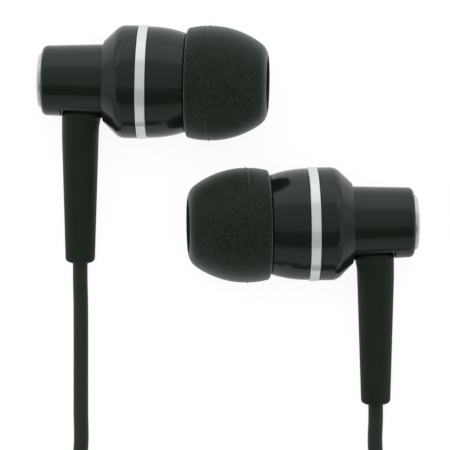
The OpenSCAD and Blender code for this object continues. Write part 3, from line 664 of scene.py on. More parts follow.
# What sets some of them apart.
EXTRAS = {
    "gloss_black": {"specular_ior_level": 0.6, "specular_tint": (0.86, 1.0, 0.91, 1.0)},
    "satin_rubber": {"specular_ior_level": 0.22, "specular_tint": (0.86, 1.0, 0.88, 1.0)},
    "cord_jacket": {
        "own": True, "stretch": (1, 1, 14),
        "sheen_weight": 0.3, "sheen_roughness": 0.3, "sheen_tint": (0.9, 1.0, 0.92, 1.0),
    },
    "film": {"transmission_weight": 0.6},
    "trim_metal": {"metallic": 0.55},
    "plated_steel": {"own": False},
    "magnet": {"own": False},
}


@functools.cache
def finish(slot):
    """The finish of a material slot, built when it is first asked for."""
    paint = settings().colours
    if slot == "black_silicone":
        return speckled_silicone(slot, paint.silicone)
    if slot == "cap_metal":
        return spun_metal(slot, paint.cap)
    build, table = (moulded, MOULDED) if slot in MOULDED else (metal, METALS)
    shade, *values = table[slot]
    if isinstance(shade, str):
        shade = getattr(paint, shade)
    return build(slot, shade, *values, **EXTRAS.get(slot, {}))


# ---------------------------------------------------------------- stage


# Light that the gloss shows: the angle from straight up towards +Y, in degrees, and the level
# there. Far to the left and right it gives way to one level.
STUDIO_LEVELS = [
    (-180, 0.7), (-112, 0.4), (-95, 0.42), (-75, 0.38), (-60, 0.33), (-52, 0.22), (-47, 0.02), (-34, 0.02),
    (-24, 0.05), (-18, 0.07), (-12, 0.26), (10, 0.29), (41, 0.4), (48, 0.72), (62, 0.8), (80, 0.89),
    (100, 0.95), (125, 1.0), (180, 1.0),
]
SIDE_LEVEL, SIDE_START, SIDE_END = 0.45, 0.8, 0.92
# Light that dull surfaces get from all round.
DULL_LEVEL = 0.75


def sky():
    """A plain studio: white to the eye, with soft bright sides and a dim patch overhead in its gloss."""
    world = bpy.data.worlds.new("studio")
    bpy.context.scene.world = world
    world.use_nodes = True
    tree = world.node_tree
    tree.nodes.clear()

    def light(colour):
        """Plain light of one colour."""
        return node(tree, "ShaderNodeBackground", {"Color": colour, "Strength": 1.0}).outputs[0]

    direction = node(tree, "ShaderNodeTexCoord").outputs["Generated"]
    x, y, z = node(tree, "ShaderNodeSeparateXYZ", {0: direction}).outputs
    turn = spread(tree, reckon(tree, "ARCTAN2", y, z), 0.0, 1.0, -math.pi, math.pi)
    ramp = node(tree, "ShaderNodeValToRGB", {"Fac": turn})
    elements = ramp.color_ramp.elements
    while len(elements) < len(STUDIO_LEVELS):
        elements.new(0.5)
    for element, (degrees, level) in zip(elements, STUDIO_LEVELS):
        element.position = degrees / 360 + 0.5
        element.color = grey(level)
    beyond = spread(tree, reckon(tree, "ABSOLUTE", x), 0.0, 1.0, SIDE_START, SIDE_END)
    level = node(tree, "ShaderNodeMix", {0: beyond, 2: ramp.outputs[0], 3: SIDE_LEVEL}).outputs[0]
    path = node(tree, "ShaderNodeLightPath").outputs
    glossy = reckon(tree, "MAXIMUM", path["Is Glossy Ray"], path["Is Transmission Ray"])
    lit = blend(tree, glossy, light(grey(DULL_LEVEL)), light(level))
    shown = blend(tree, path["Is Camera Ray"], lit, light(grey(1.0)))
    node(tree, "ShaderNodeOutputWorld", {"Surface": shown})


# To the eye, how much of the paper's white is its own glow and how much can be shaded.
PAPER_GLOW, PAPER_SHADE = 0.89, 0.15


def floor_finish():
    """White paper: to the eye it glows and keeps a faint shadow, and to the object it is plain.

    In the gloss it shows a painted glow instead of its own shading: painted light that is even
    behind the earpieces, and painted darker in front of them and far to their sides.
    """
    material, tree, surface = new_finish("white_paper", roughness=0.9, specular_ior_level=0.1)
    place = where(tree, False)
    two_tone(tree, surface, grain(tree, place, 0.4 * MM), grey(0.88), grey(0.9))
    glow = node(tree, "ShaderNodeEmission", {"Color": grey(1.0), "Strength": PAPER_GLOW}).outputs[0]
    dim = node(tree, "ShaderNodeBsdfDiffuse", {"Color": grey(PAPER_SHADE)}).outputs[0]
    faint = node(tree, "ShaderNodeAddShader", {0: glow, 1: dim}).outputs[0]
    across, back, _ = node(tree, "ShaderNodeSeparateXYZ", {0: place}).outputs
    # Painted light for the gloss: the glow is brightest behind the earpieces, dimmer in front and far to the
    # sides.
    front_level, back_level, aside_share = 0.5, 0.82, 0.55
    behind = spread(tree, back, front_level, back_level, -3 * MM, 8 * MM)
    aside = spread(tree, reckon(tree, "ABSOLUTE", across), 1.0, aside_share, 35 * MM, 60 * MM)
    level = reckon(tree, "MULTIPLY", behind, aside)
    # The floor glows with this painted light in reflections only, though it is no lamp.
    even = node(tree, "ShaderNodeEmission", {"Color": grey(1.0), "Strength": level}).outputs[0]
    path = node(tree, "ShaderNodeLightPath").outputs
    plain = blend(tree, path["Is Glossy Ray"], surface.outputs[0], even)
    mixed = blend(tree, path["Is Camera Ray"], plain, faint)
    tree.links.new(mixed, tree.nodes["Material Output"].inputs["Surface"])
    return material


# The camera looks straight down from above the middle of the two earpieces.
CAMERA_PLACE = np.array([-0.31, -0.97, 1079.8]) * MM
# The lamp hangs above and behind them, and is turned to face them.
LAMP_BACK, LAMP_HIGH = 0.12, 0.8
# How far the table reaches to every side.
TABLE_REACH = 1.5


class EARPHONES_OT_stage(bpy.types.Operator):
    """Sets the camera straight above the earpieces, the soft lamp, the studio and the table"""

    bl_idname = "earphones.stage"
    bl_label = "Stage"

    def execute(self, context):
        scene = context.scene
        lens = bpy.data.cameras.new("camera")
        lens.lens, lens.sensor_width, lens.clip_start = 800.0, 36.0, 0.01
        scene.camera = stand("camera", lens, CAMERA_PLACE)
        lamp = bpy.data.lights.new("overhead_lamp", "AREA")
        lamp.size, lamp.energy = 0.5, 1.9
        above = stand("overhead_lamp", lamp, (0.0, LAMP_BACK, LAMP_HIGH))
        above.rotation_euler = (-math.atan(LAMP_BACK / LAMP_HIGH), 0.0, 0.0)
        above.visible_camera = above.visible_glossy = above.visible_transmission = False
        mesh = bpy.data.meshes.new("table")
        corners = [(-1, -1, 0), (1, -1, 0), (1, 1, 0), (-1, 1, 0)]
        mesh.from_pydata(TABLE_REACH * np.array(corners), [], [(0, 1, 2, 3)])
        mesh.materials.append(floor_finish())
        stand("table", mesh)
        sky()
        scene.view_settings.view_transform = "Standard"
        return {"FINISHED"}


# ---------------------------------------------------------------- cords


def coil_point(coil, t):
    """Centre line of a wound coil after t turns.

    The angle is the start angle plus t whole turns. The radius runs evenly inwards along the even
    layers and outwards along the odd ones, by one pitch a turn, and the height climbs by one pitch
    in the half turn round the end of each layer.
    """
    per_layer = coil.turns / coil.layers
    pitch = coil.diameter + coil.gap
    layer = np.minimum(np.floor(t / per_layer), coil.layers - 1)
    into = t - layer * per_layer
    radius = coil.radius + pitch * (per_layer / 2 - np.where(layer % 2 == 0, into, per_layer - into))
    ends = np.arange(1, coil.layers) * per_layer
    climbed = smooth(2 * (t[:, None] - ends) + 0.5).sum(axis=1)
    a = np.radians(coil.start) + 2 * math.pi * t
    spots = np.stack([radius * np.cos(a), radius * np.sin(a), coil.low + pitch * climbed], axis=1)
    return spots + np.array([*coil.centre, 0])


def coil_line(coil):
    """A coil's whole centre line with its two straight ends, each two diameters long."""
    step, points_a_turn = 0.002, 24
    first, second = coil_point(coil, np.array([0, step]))
    fore, last = coil_point(coil, np.array([coil.turns - step, coil.turns]))
    level = np.array([1, 1, 0])
    into, out = unit((second - first) * level), unit((last - fore) * level)
    steps = coil.diameter * np.array([[2], [1]])
    turns = coil_point(coil, np.linspace(0, coil.turns, int(points_a_turn * coil.turns) + 1))
    return np.vstack([first - steps * into, turns, last + steps[::-1] * out])


def coil_of(name):
    """A wound coil of the three: its centre, mean radius, lowest turn's height, turns and layers.

    The start is the angle at which the cord comes in, in degrees.
    """
    sizes = settings().cords
    lift = sizes.tie_thickness + sizes.tie_gap
    centre, radius, turns, layers, diameter, start = {
        "left": ((-12.8, -42), 9, 4.25, 2, sizes.branch_diameter, 180),
        "right": ((-13.2, -42), 9.55, 4.25, 2, sizes.branch_diameter, 180),
        "main": ((-9.5, -104), 11, 12.5, 4, sizes.main_diameter, 90),
    }[name]
    return SimpleNamespace(
        centre=np.array(centre) * MM,
        radius=radius * MM,
        low=diameter / 2 + lift,
        turns=turns,
        layers=layers,
        diameter=diameter,
        start=start,
        gap=sizes.turn_gap,
    )


# Points that the cords pass between their ends and their coils, in millimetres. The right
# branch's are written as their mirror image.
ROUTES = {
    "left": (
        [(-15.87, -9.6, 0.9), (-15.86, -13, 0.8), (-15.86, -17, 0.8), (-15.86, -21, 0.8), (-15.86, -25, 0.8),
         (-16.1, -27.1, 0.8), (-16.9, -29, 0.8), (-18.2, -30.7, 0.9), (-19.9, -31.9, 1), (-21.7, -33.1, 1.1),
         (-23, -34.8, 1.2), (-23.8, -36.7, 1.3)],
        [(-6.8, -54.1, 3.2), (-4.2, -55.9, 2.9), (-2.4, -58.2, 2.5), (-1.4, -60.8, 2.1), (-1.1, -63.4, 1.9),
         (-1.1, -65, 1.9)],
    ),
    "right": (
        [(-15.9, -25, 0.9), (-16.2, -27.2, 0.8), (-17.1, -29.1, 0.8), (-18.6, -30.8, 0.9), (-20.5, -31.9, 1),
         (-22.3, -33, 1.1), (-23.8, -34.7, 1.2), (-24.7, -36.6, 1.3)],
        [(-7.1, -54.6, 3.2), (-4.4, -56.2, 2.9), (-2.5, -58.4, 2.5), (-1.4, -60.9, 2.1), (-1.1, -63.4, 1.9),
         (-1.1, -65, 1.9)],
    ),
    "main": (
        [(0, -81, 1.9), (0, -83, 1.9), (-0.8, -86.2, 1.8), (-2.8, -88.3, 1.7)],
        [(-1, -119.2, 8.4), (3.6, -119.2, 7.7), (8.1, -118.4, 6.9), (12.6, -116, 6.1), (15.8, -112.2, 5.1),
         (17, -108, 3.9), (17, -106, 3.9)],
    ),
}


def cord_line(name):
    """A cord's centre line from where it leaves the earpiece or the splitter to its far end."""
    upper, lower = (np.array(points) * MM for points in ROUTES[name])
    points = np.vstack([upper, coil_line(coil_of(name)), lower])
    if name == "main":
        return curve_through(points, 0.5 * MM)
    if name == "right":
        points = points * MIRROR
    soft, diameter = settings().soft, settings().cords.branch_diameter
    leaves = grid(0, [-soft.relief_reach, -soft.relief_reach - diameter], soft.relief_at)
    return curve_through(np.vstack([placed(leaves, earpiece_place(name)), points]), 0.4 * MM)


def lay_cord(name):
    """Makes a whole cord as one piece."""
    line = cord_line(name)
    sizes = settings().cords
    diameter = sizes.main_diameter if name == "main" else sizes.branch_diameter
    rows, straight = tube(line, diameter / 2, 20)
    nodes = [f"{name}_cord_upper", f"{name}_coil", f"{name}_cord_lower"]
    piece = put(f"{name}_cord", "cord_jacket", [(rows, False, straight)], nodes)


class EARPHONES_OT_cords(bpy.types.Operator):
    """Lays the two branch cords and the main cord, each wound in its coil"""

    bl_idname = "earphones.cords"
    bl_label = "Cords"

    def execute(self, context):
        lay_cord("left")
        lay_cord("right")
        lay_cord("main")
        return {"FINISHED"}


def tie_rows(coil, angle):
    """A flat strap round a coil's bundle, at an angle about the coil in degrees.

    The strap's middle line is a rounded rectangle about the bundle's section, written as a circle
    of the corner's radius whose quarters are pushed apart to the corners: by 12 times the cosine
    and the sine, held between -1 and 1. Its own section is a flat rounded strip: half the width
    times the cosine, and half the thickness times the sine, each held to a near rectangle by a
    root.
    """
    sizes, centre = settings().cords, np.array([*coil.centre, 0])
    passes = coil_point(coil, np.arange((angle - coil.start) / 360 % 1, coil.turns, 1)) - centre
    radii = np.linalg.norm(passes[:, :2], axis=1)
    middle = coil.diameter / 2 + sizes.tie_gap + sizes.tie_thickness / 2
    wide, tall = radii.max() - radii.min(), (coil.diameter + coil.gap) * (coil.layers - 1)
    a, b = around(128), around(24)
    normal = np.stack([np.cos(a), np.sin(a)], axis=1)
    line = np.clip(normal * 12, -1, 1) / 2 * [wide, tall] + middle * normal
    line += [(radii.max() + radii.min()) / 2, coil.low + tall / 2]
    over = boxy(np.cos(b), 0.25) * sizes.tie_width / 2
    out = boxy(np.sin(b), 0.6) * sizes.tie_thickness / 2
    flat, up = np.moveaxis(line[:, None] + normal[:, None] * out[:, None], -1, 0)
    c, s = math.cos(math.radians(angle)), math.sin(math.radians(angle))
    return grid(flat * c - over * s, flat * s + over * c, up) + centre


class EARPHONES_OT_ties(bpy.types.Operator):
    """Straps a flat tie round each coil"""

    bl_idname = "earphones.ties"
    bl_label = "Coil ties"

    def execute(self, context):
        for name, angle in (("left", 90), ("right", 90), ("main", 0)):
            rows = tie_rows(coil_of(name), angle) * (MIRROR if name == "right" else 1)
            put(f"{name}_tie", "tie_rubber", [(rows, True)], [f"{name}_coil_tie"])
        return {"FINISHED"}


# Where the splitter's foot lies along y.
SPLITTER_START = -81 * MM


def splitter_rows():
    """Rows of the splitter, which lies along y.

    Each section is a circle of radius r pushed apart to both sides by e: by 6 times the cosine,
    held between -1 and 1. Both change evenly from the foot to the head. Near the ends r shrinks
    along a quarter circle, and grooves near the foot let the moulding flex.
    """
    sizes, long = settings().cords, settings().cords.splitter_length
    main_r = sizes.main_diameter / 2 + sizes.splitter_wall
    branch_r = sizes.branch_diameter / 2 + sizes.splitter_wall
    foot, head, edge = 1.0 * MM, long - sizes.splitter_head, 0.35 * MM
    first_groove, pitch, grooves, half, depth = 1.4 * MM, 1.1 * MM, 5, 0.3, 0.22 * MM
    ends = np.linspace(0, 1, 7) ** 2 * edge
    along = np.concatenate([ends, np.linspace(0.5 * MM, long - 0.5 * MM, 120), long - ends[::-1]])
    t = np.clip((along - foot) / (head - foot), 0, 1)
    near = np.clip(np.minimum(along, long - along) / edge, 0, 1)
    groove = (along - first_groove) / pitch
    cut = smooth(1 - np.abs(groove - np.round(np.clip(groove, 0, grooves - 1))) / half)
    r = main_r + (branch_r - main_r) * t - edge * (1 - np.sqrt(1 - (1 - near) ** 2)) - depth * cut
    r, e, a = r[:, None], sizes.branch_pitch / 2 * t[:, None], around(96)
    x = r * np.cos(a) + e * np.clip(np.cos(a) * 6, -1, 1)
    return grid(x, SPLITTER_START + along[:, None], r * np.sin(a) + main_r)


class EARPHONES_OT_splitter(bpy.types.Operator):
    """Moulds the splitter, which joins the two branches to the main cord"""

    bl_idname = "earphones.splitter"
    bl_label = "Splitter"

    def execute(self, context):
        put("splitter_moulding", "satin_rubber", [(with_ends(splitter_rows()), False)], ["splitter"])
        return {"FINISHED"}


# ---------------------------------------------------------------- plug

PLUG_COLUMNS = 96


def washer(inner, outer, start, end, edge=0.03 * MM):
    """Profile of a ring of rectangular section with eased outer edges, in metres."""
    return rounded([(inner, start, 0), (outer, start, edge), (outer, end, edge), (inner, end, 0)])


def boot_profile(sizes):
    """Profile of the plug's strain relief: a cone with grooves cut down to an even core."""
    main_r = settings().cords.main_diameter / 2
    end_r, core_r = main_r + 0.5 * MM, main_r + 0.35 * MM
    margin, share = 1.2 * MM, 0.35
    pitch = (sizes.boot_length - 2 * MM) / sizes.boot_grooves
    corners = [(0, 0, 0), (end_r, 0, 0.25 * MM)]
    for i in range(sizes.boot_grooves):
        low = margin + i * pitch
        high = low + pitch * share
        low_r, high_r = (end_r + (sizes.boot_radius - end_r) * u / sizes.boot_length for u in (low, high))
        corners += [(low_r, low, 0.1 * MM), (core_r, low, 0.05 * MM)]
        corners += [(core_r, high, 0.05 * MM), (high_r, high, 0.1 * MM)]
    return rounded([*corners, (sizes.boot_radius, sizes.boot_length, 0), (0, sizes.boot_length, 0)], False)


def grip_rows(sizes):
    """Rows of the plug's grip, a turned barrel with shallow flutes.

    At the flutes the radius dips by the fourth power of the cosine of half the angle times their
    number. They fade in and out along the grip, and only its outside has them.
    """
    start, radius, end = sizes.boot_length, sizes.grip_radius, sizes.boot_length + sizes.grip_length
    low, high, fading, depth = start + 2.2 * MM, end - 2.4 * MM, 1.2 * MM, 0.16 * MM
    profile = rounded([
        (0, start, 0), (radius - 0.9 * MM, start, 0.2 * MM),
        (radius - 0.4 * MM, start + 0.5 * MM, 0.3 * MM),
        (radius, start + sizes.grip_length * 0.35, 6 * MM),
        (radius, end - 0.5 * MM, 0.15 * MM), (radius - 0.5 * MM, end, 0.15 * MM), (0, end, 0),
    ], False)
    rows = lathe(refined(profile, 0.25 * MM, False), 3 * PLUG_COLUMNS)
    x, y, z = np.moveaxis(rows, -1, 0)
    fade = smooth((z - low) / fading) * smooth((high - z) / MM)
    outside = smooth((np.hypot(x, y) - radius + MM) / (0.5 * MM))
    dip = depth * fade * outside * np.cos(np.arctan2(y, x) * sizes.grip_flutes / 2) ** 4
    rows[..., :2] *= (1 - dip / radius)[..., None]
    return rows


def tip_contact_profile(core, shank, start, tip_start, end):
    """Profile of the tip contact: its long core, its waist, and its bulging nose."""
    waist, bulge = shank - 0.45 * MM, shank - 0.03 * MM
    return rounded([
        (0, start, 0), (core, start, 0), (core, tip_start, 0), (shank, tip_start, 0.06 * MM),
        (waist, tip_start + 0.9 * MM, 0.3 * MM), (waist, tip_start + 1.3 * MM, 0.3 * MM),
        (bulge, tip_start + 2.0 * MM, 0.3 * MM), (bulge - 0.06 * MM, end - 1.2 * MM, 0.5 * MM),
        (0.45 * MM, end, 0.3 * MM), (0, end, 0),
    ], False)


class EARPHONES_OT_plug(bpy.types.Operator):
    """Turns the plug: its ribbed boot, fluted grip, three contacts and two insulating bands"""

    bl_idname = "earphones.plug"
    bl_label = "Plug"

    def execute(self, context):
        sizes, place = settings().plug, plug_place()
        boot = lathe(boot_profile(sizes), PLUG_COLUMNS)
        put("plug_flex", "satin_rubber", [(boot, False)], ["plug_boot"], place)
        put("plug_handle", "gloss_black", [(grip_rows(sizes), False)], ["plug_grip"], place)
        shank, band = sizes.shank_radius, sizes.band_width
        start = sizes.boot_length + sizes.grip_length
        end = start + sizes.shank_length
        tip_start = end - sizes.tip_contact
        ring_end = tip_start - band
        ring_start = ring_end - sizes.ring_contact
        sleeve_end = ring_start - band
        core, band_bore, contact_bore, band_sunk = 0.88 * MM, 0.9 * MM, 1.1 * MM, 0.02 * MM

        def turn(name, slot, profiles, replaced):
            """Turns a piece of hollow rings."""
            parts = [(lathe(profile, PLUG_COLUMNS), True) for profile in profiles]
            put(name, slot, parts, [replaced], place)

        turn("plug_sleeve", "plated_contact", [washer(contact_bore, shank, start, sleeve_end)],
             "plug_sleeve_contact")
        turn("plug_bands", "black_plastic",
             [washer(band_bore, shank - band_sunk, at, at + band) for at in (sleeve_end, ring_end)],
             "plug_insulators")
        turn("plug_ring", "plated_contact", [washer(contact_bore, shank, ring_start, ring_end)],
             "plug_ring_contact")
        tip = lathe(tip_contact_profile(core, shank, start, tip_start, end), PLUG_COLUMNS)
        put("plug_tip", "plated_contact", [(tip, False)], ["plug_tip_contact"], place)
        return {"FINISHED"}


# ---------------------------------------------------------------- earpieces

# Clearance between pieces that fit into each other.
CLEAR = 0.05 * MM
# Radius and depth of the bore in the back shell that the front shell's spigot sits in.
SPIGOT_BORE, SPIGOT_DEPTH = 5.5 * MM, 2.4 * MM
# Radius of the bore through the neck.
NECK_BORE = 2.75 * MM
# How far the nozzle's lip stands out of its stem.
LIP_PROUD = 0.2 * MM
# How much further out the notch's flat lies for each length along the neck.
NOTCH_LEAN = 0.054


class EARPHONES_OT_caps(bpy.types.Operator):
    """Spins the two domed metal end caps"""

    bl_idname = "earphones.caps"
    bl_label = "End caps"

    def execute(self, context):
        # The face is part of a ball: its height at radius r is R less the root of R squared less
        # r squared. A shallow groove parts it from the cap's rounded edge.
        sizes, at = settings().housing, stations()
        radius, dome = sizes.cap_radius, sizes.cap_dome
        face = radius - 0.42 * MM
        groove_r, groove_width, groove_depth = face - 0.2 * MM, 0.05 * MM, 0.04 * MM
        ball = (face**2 + dome**2) / (2 * dome)
        top, bottom = at.neck_start - sizes.cap_rise, at.neck_start + sizes.cap_edge
        r = np.linspace(0, face, 90)
        height = ball - np.sqrt(ball**2 - r**2) + groove_depth * bell(r - groove_r, groove_width)
        edge = [(radius, top + dome + 0.03 * MM, 0.33 * MM), (radius, bottom, 0), (0, bottom, 0)]
        profile = rounded(np.vstack([grid(r, top + height, 0), edge]), looped=False)
        put_pair("cap", "cap_metal", [(lathe(profile), False)], "end_cap")
        return {"FINISHED"}


def relief_radius(c, v):
    """Radius of the strain relief at the distance v from the earpiece's axis.

    It narrows evenly to its end. Above, it flares by the cubed share of the way to the neck, and
    in the notch by a heel, on the cone's side only: times the square of c, the cosine of the
    angle from that side.
    """
    soft, neck = settings().soft, settings().housing.neck_rear
    straight, flare_start, flare_end = neck + 2.4 * MM, neck + 0.4 * MM, neck + 2.8 * MM
    flare_reach = 3.2 * MM
    heel_start, heel_reach, heel_height = neck + 0.45 * MM, 0.55 * MM, 0.3 * MM
    down = np.clip((v - straight) / (soft.relief_reach - straight), 0, 1)
    flare = np.clip((flare_end - np.maximum(v, flare_start)) / flare_reach, 0, 1) ** 3
    heel = heel_height * smooth((heel_start - v) / heel_reach)
    taper = soft.relief_top + (soft.relief_end - soft.relief_top) * down
    return taper + (flare * soft.relief_flare + heel) * np.maximum(c, 0) ** 2


def relief_seat(over, u, slot=0.0):
    """Distance along the strain relief from the earpiece's axis to the flat of the neck's notch.

    The flat stands upright on the table and leans with the neck's side: its level distance is the
    seat's plus the lean times u, which runs along the neck. Where a point lies over the relief's
    middle, the distance along the relief is less by the sine of the roll times that height, and
    the whole is divided by the cosine of the roll.
    """
    soft = settings().soft
    level = soft.relief_seat + slot + NOTCH_LEAN * u
    return (level - math.sin(soft.relief_roll) * np.maximum(over, 0)) / math.cos(soft.relief_roll)


def notched(rows, neck_end):
    """Cuts the flat notch for the strain relief's head into the neck's rows, just short of the cone.

    A point further out than the notch's flat comes in along its radius until it lies on the flat.
    The neck's inside, within the inner radius, stays as it is.
    """
    soft, inner_r, edge, short = settings().soft, 3.2 * MM, 0.02 * MM, 0.072 * MM
    x, y, u = rows[..., 0], rows[..., 1], rows[..., 2] - soft.relief_at
    level = -y * math.cos(soft.relief_roll) - np.minimum(x, 0) * math.sin(soft.relief_roll)
    cut = np.minimum((soft.relief_seat + NOTCH_LEAN * u) / np.maximum(level, MM), 1)
    share = smooth((soft.relief_notch + edge + u) / (2 * edge))
    share *= (y < 0) * (np.hypot(x, y) > inner_r) * (u < neck_end - short - soft.relief_at)
    rows[..., :2] *= (1 - share * (1 - cut))[..., None]
    return rows


class EARPHONES_OT_back_shells(bpy.types.Operator):
    """Moulds the two rear housings: the neck, the cone and the back shell"""

    bl_idname = "earphones.back_shells"
    bl_label = "Back shells"

    def execute(self, context):
        sizes, soft, at = settings().housing, settings().soft, stations()
        recess, ledge = sizes.cap_radius + CLEAR, at.neck_start + sizes.cap_edge + 0.02 * MM
        bore, hollow, seat = SPIGOT_BORE, 5.0 * MM, at.front_start - SPIGOT_DEPTH
        slope = (sizes.neck_front - sizes.neck_rear) / sizes.neck_length
        # The neck's side has closer rows where the notch for the strain relief begins.
        edges = soft.relief_at - soft.relief_notch + np.linspace(-0.1, 0.1, 11) * MM
        profile = rounded([
            (recess, at.neck_start, 0.03 * MM), (sizes.neck_rear, at.neck_start, sizes.neck_edge),
            *((sizes.neck_rear + slope * (z - at.neck_start), z, 0) for z in edges),
            (sizes.neck_front, at.neck_end, 0.07 * MM), (sizes.cone_rear, at.neck_end, 0.1 * MM),
            (sizes.shell_radius, at.shell_start, sizes.shell_edge),
            (sizes.shell_radius, at.shell_end, 0.07 * MM), (bore, at.shell_end, 0), (bore, seat, 0),
            (hollow, seat, 0), (hollow, at.shell_start + 0.25 * MM, 0),
            (4.28 * MM, at.shell_start - 0.5 * MM, 0), (NECK_BORE, at.neck_end + 0.35 * MM, 0),
            (NECK_BORE, ledge, 0), (recess, ledge, 0),
        ], steps=7)
        rows = notched(lathe(refined(profile, 0.1 * MM), 288), at.neck_end)
        put_pair("back_shell", "gloss_black", [(rows, True)], "rear_housing")
        return {"FINISHED"}


class EARPHONES_OT_rings(bpy.types.Operator):
    """Turns the two bright rings between the shells"""

    bl_idname = "earphones.rings"
    bl_label = "Bright rings"

    def execute(self, context):
        sizes, at = settings().housing, stations()
        start, end = at.shell_end + CLEAR, at.front_start - CLEAR
        profile = washer(SPIGOT_BORE, sizes.shell_radius + sizes.ring_proud, start, end, 0.1 * MM)
        put_pair("band", "trim_metal", [(lathe(profile, 256), True)], "trim_ring")
        return {"FINISHED"}


class EARPHONES_OT_front_shells(bpy.types.Operator):
    """Moulds the two front housings with their nozzles"""

    bl_idname = "earphones.front_shells"
    bl_label = "Front shells"

    def execute(self, context):
        sizes, at = settings().housing, stations()
        start, wall_end, end = at.front_start, at.front_end, at.nozzle_end
        stem, lip, bore = sizes.nozzle_radius, sizes.nozzle_radius + LIP_PROUD, 1.6 * MM
        spigot, rear = SPIGOT_BORE - CLEAR, start - SPIGOT_DEPTH + CLEAR
        rebate, hollow, ledge = 5.05 * MM, 4.5 * MM, start + 1.2 * MM
        screen_r, screen_depth = 2.1 * MM, 0.4 * MM
        # The side follows an arc that starts level with the axis.
        angle = np.linspace(0.02, math.asin(sizes.front_length / sizes.front_arc), 24)[:-1]
        middle = sizes.front_radius - sizes.front_arc
        end_r = middle + math.sqrt(sizes.front_arc**2 - sizes.front_length**2)
        profile = rounded(np.vstack([
            [(rebate, rear, 0), (spigot, rear, 0), (spigot, start, 0),
             (sizes.front_radius, start, 0.06 * MM)],
            arc_of(middle, start, sizes.front_arc, angle),
            [(end_r, wall_end, 0.1 * MM), (stem + 0.3 * MM, wall_end, 0.15 * MM),
             (stem, wall_end + 0.3 * MM, 0.2 * MM), (stem, end - 1.3 * MM, 0.1 * MM),
             (lip, end - 1.1 * MM, 0.12 * MM), (lip, end - 0.2 * MM, 0.12 * MM),
             (lip - 0.15 * MM, end, 0.06 * MM), (screen_r, end, 0.05 * MM),
             (screen_r, end - screen_depth, 0), (bore, end - screen_depth, 0.05 * MM),
             (bore, wall_end - 0.55 * MM, 0), (3.4 * MM, wall_end - 0.85 * MM, 0),
             (hollow, start + 1.9 * MM, 0), (hollow, ledge, 0), (rebate, ledge, 0)],
        ]))
        put_pair("front_shell", "gloss_black", [(lathe(refined(profile, 0.5 * MM)), True)], "front_housing")
        return {"FINISHED"}


class EARPHONES_OT_screens(bpy.types.Operator):
    """Weaves the fine steel screens in the nozzles"""

    bl_idname = "earphones.screens"
    bl_label = "Nozzle screens"

    def execute(self, context):
        # Each wire runs straight across the disc and waves over and under the crossing wires as
        # the cosine of its way; neighbours wave the opposite way.
        radius, wire, pitch = 1.98 * MM, 0.035 * MM, 0.24 * MM
        rim, middle = 0.07 * MM, stations().nozzle_end - 0.3 * MM
        parts = [(lathe(washer(1.9 * MM, 2.04 * MM, middle - rim, middle + rim), 72), True)]
        for i in range(-7, 8):
            half = math.sqrt(radius**2 - (i * pitch) ** 2)
            way = np.linspace(-half, half, 2 * int(half / pitch * 3) + 1)
            for turned in (False, True):
                wave = middle + wire * np.cos(math.pi * (way / pitch + i + turned))
                line = grid(i * pitch, way, wave) if turned else grid(way, i * pitch, wave)
                parts.append((tube(line, wire, 5)[0], False))
        put_pair("screen", "steel_mesh", parts, "nozzle_screen", sharp=60.0)
        return {"FINISHED"}


class EARPHONES_OT_tips(bpy.types.Operator):
    """Moulds the two silicone ear tips"""

    bl_idname = "earphones.tips"
    bl_label = "Ear tips"

    def execute(self, context):
        # The side is an arc that runs into a tighter one before the mouth. The seam line stands on
        # its widest place as a narrow ridge between two grooves: each is a bell curve of the
        # distance from the seam.
        soft, at = settings().soft, stations()
        arc, shoulder, mouth, rim = soft.tip_arc, soft.tip_shoulder, soft.mouth_radius, 0.45 * MM
        centre, inner = soft.tip_radius - arc, arc - soft.skirt_wall
        start, widest, nozzle, end = at.tip_start, at.tip_middle, at.nozzle_end, at.tip_end
        seam_width, groove_at, groove_share = 0.1 * MM, 0.28 * MM, 0.6
        throat, sleeve = 2.0 * MM, 3.3 * MM
        socket = settings().housing.nozzle_radius + LIP_PROUD + CLEAR
        cavity_end = end - 3 * MM
        rim_at = start + rim
        rim_r = centre + math.sqrt(arc**2 - (widest - rim_at) ** 2)
        nose_angle = math.asin((end - widest - shoulder) / (arc - shoulder))
        side = np.linspace(-math.asin((widest - rim_at) / arc), nose_angle, 40)
        angle = np.unique(np.concatenate([side, np.linspace(-0.06, 0.06, 61)]))
        off = np.abs(angle * arc)
        ridge = bell(off, seam_width) - groove_share * bell(off - groove_at, seam_width)
        outer_r = centre + (arc + soft.seam_height * ridge) * np.cos(angle)
        back = np.linspace(math.asin((cavity_end - widest) / inner) - 0.03,
                           -math.asin((widest - start - 0.4 * MM) / inner), 16)
        profile = rounded(np.vstack([
            arc_of(rim_r - rim, rim_at, rim, np.linspace(-math.pi / 2, 0, 10)[:-1]),
            grid(outer_r, widest + arc * np.sin(angle), 0),
            arc_of(centre + (arc - shoulder) * math.cos(nose_angle), end - shoulder, shoulder,
                   np.linspace(nose_angle, math.radians(80), 14)[1:]),
            [(mouth, end, 0.07 * MM), (mouth - 0.35 * MM, end - 1.3 * MM, 0.5 * MM),
             (throat, end - 2.6 * MM, 0.4 * MM), (throat, nozzle + 0.3 * MM, 0.1 * MM),
             (socket, nozzle + 0.3 * MM, 0), (socket, start, 0.1 * MM), (sleeve, start, 0.15 * MM),
             (sleeve, cavity_end, 0.5 * MM),
             (centre + inner * math.cos(back[0]) - 0.35 * MM, cavity_end, 0.2 * MM)],
            arc_of(centre, widest, inner, back),
        ]))
        rows = lathe(refined(profile, 0.6 * MM), 224)
        put_pair("tip", "black_silicone", [(rows, True)], "ear_tip", "silicone_tip")
        return {"FINISHED"}


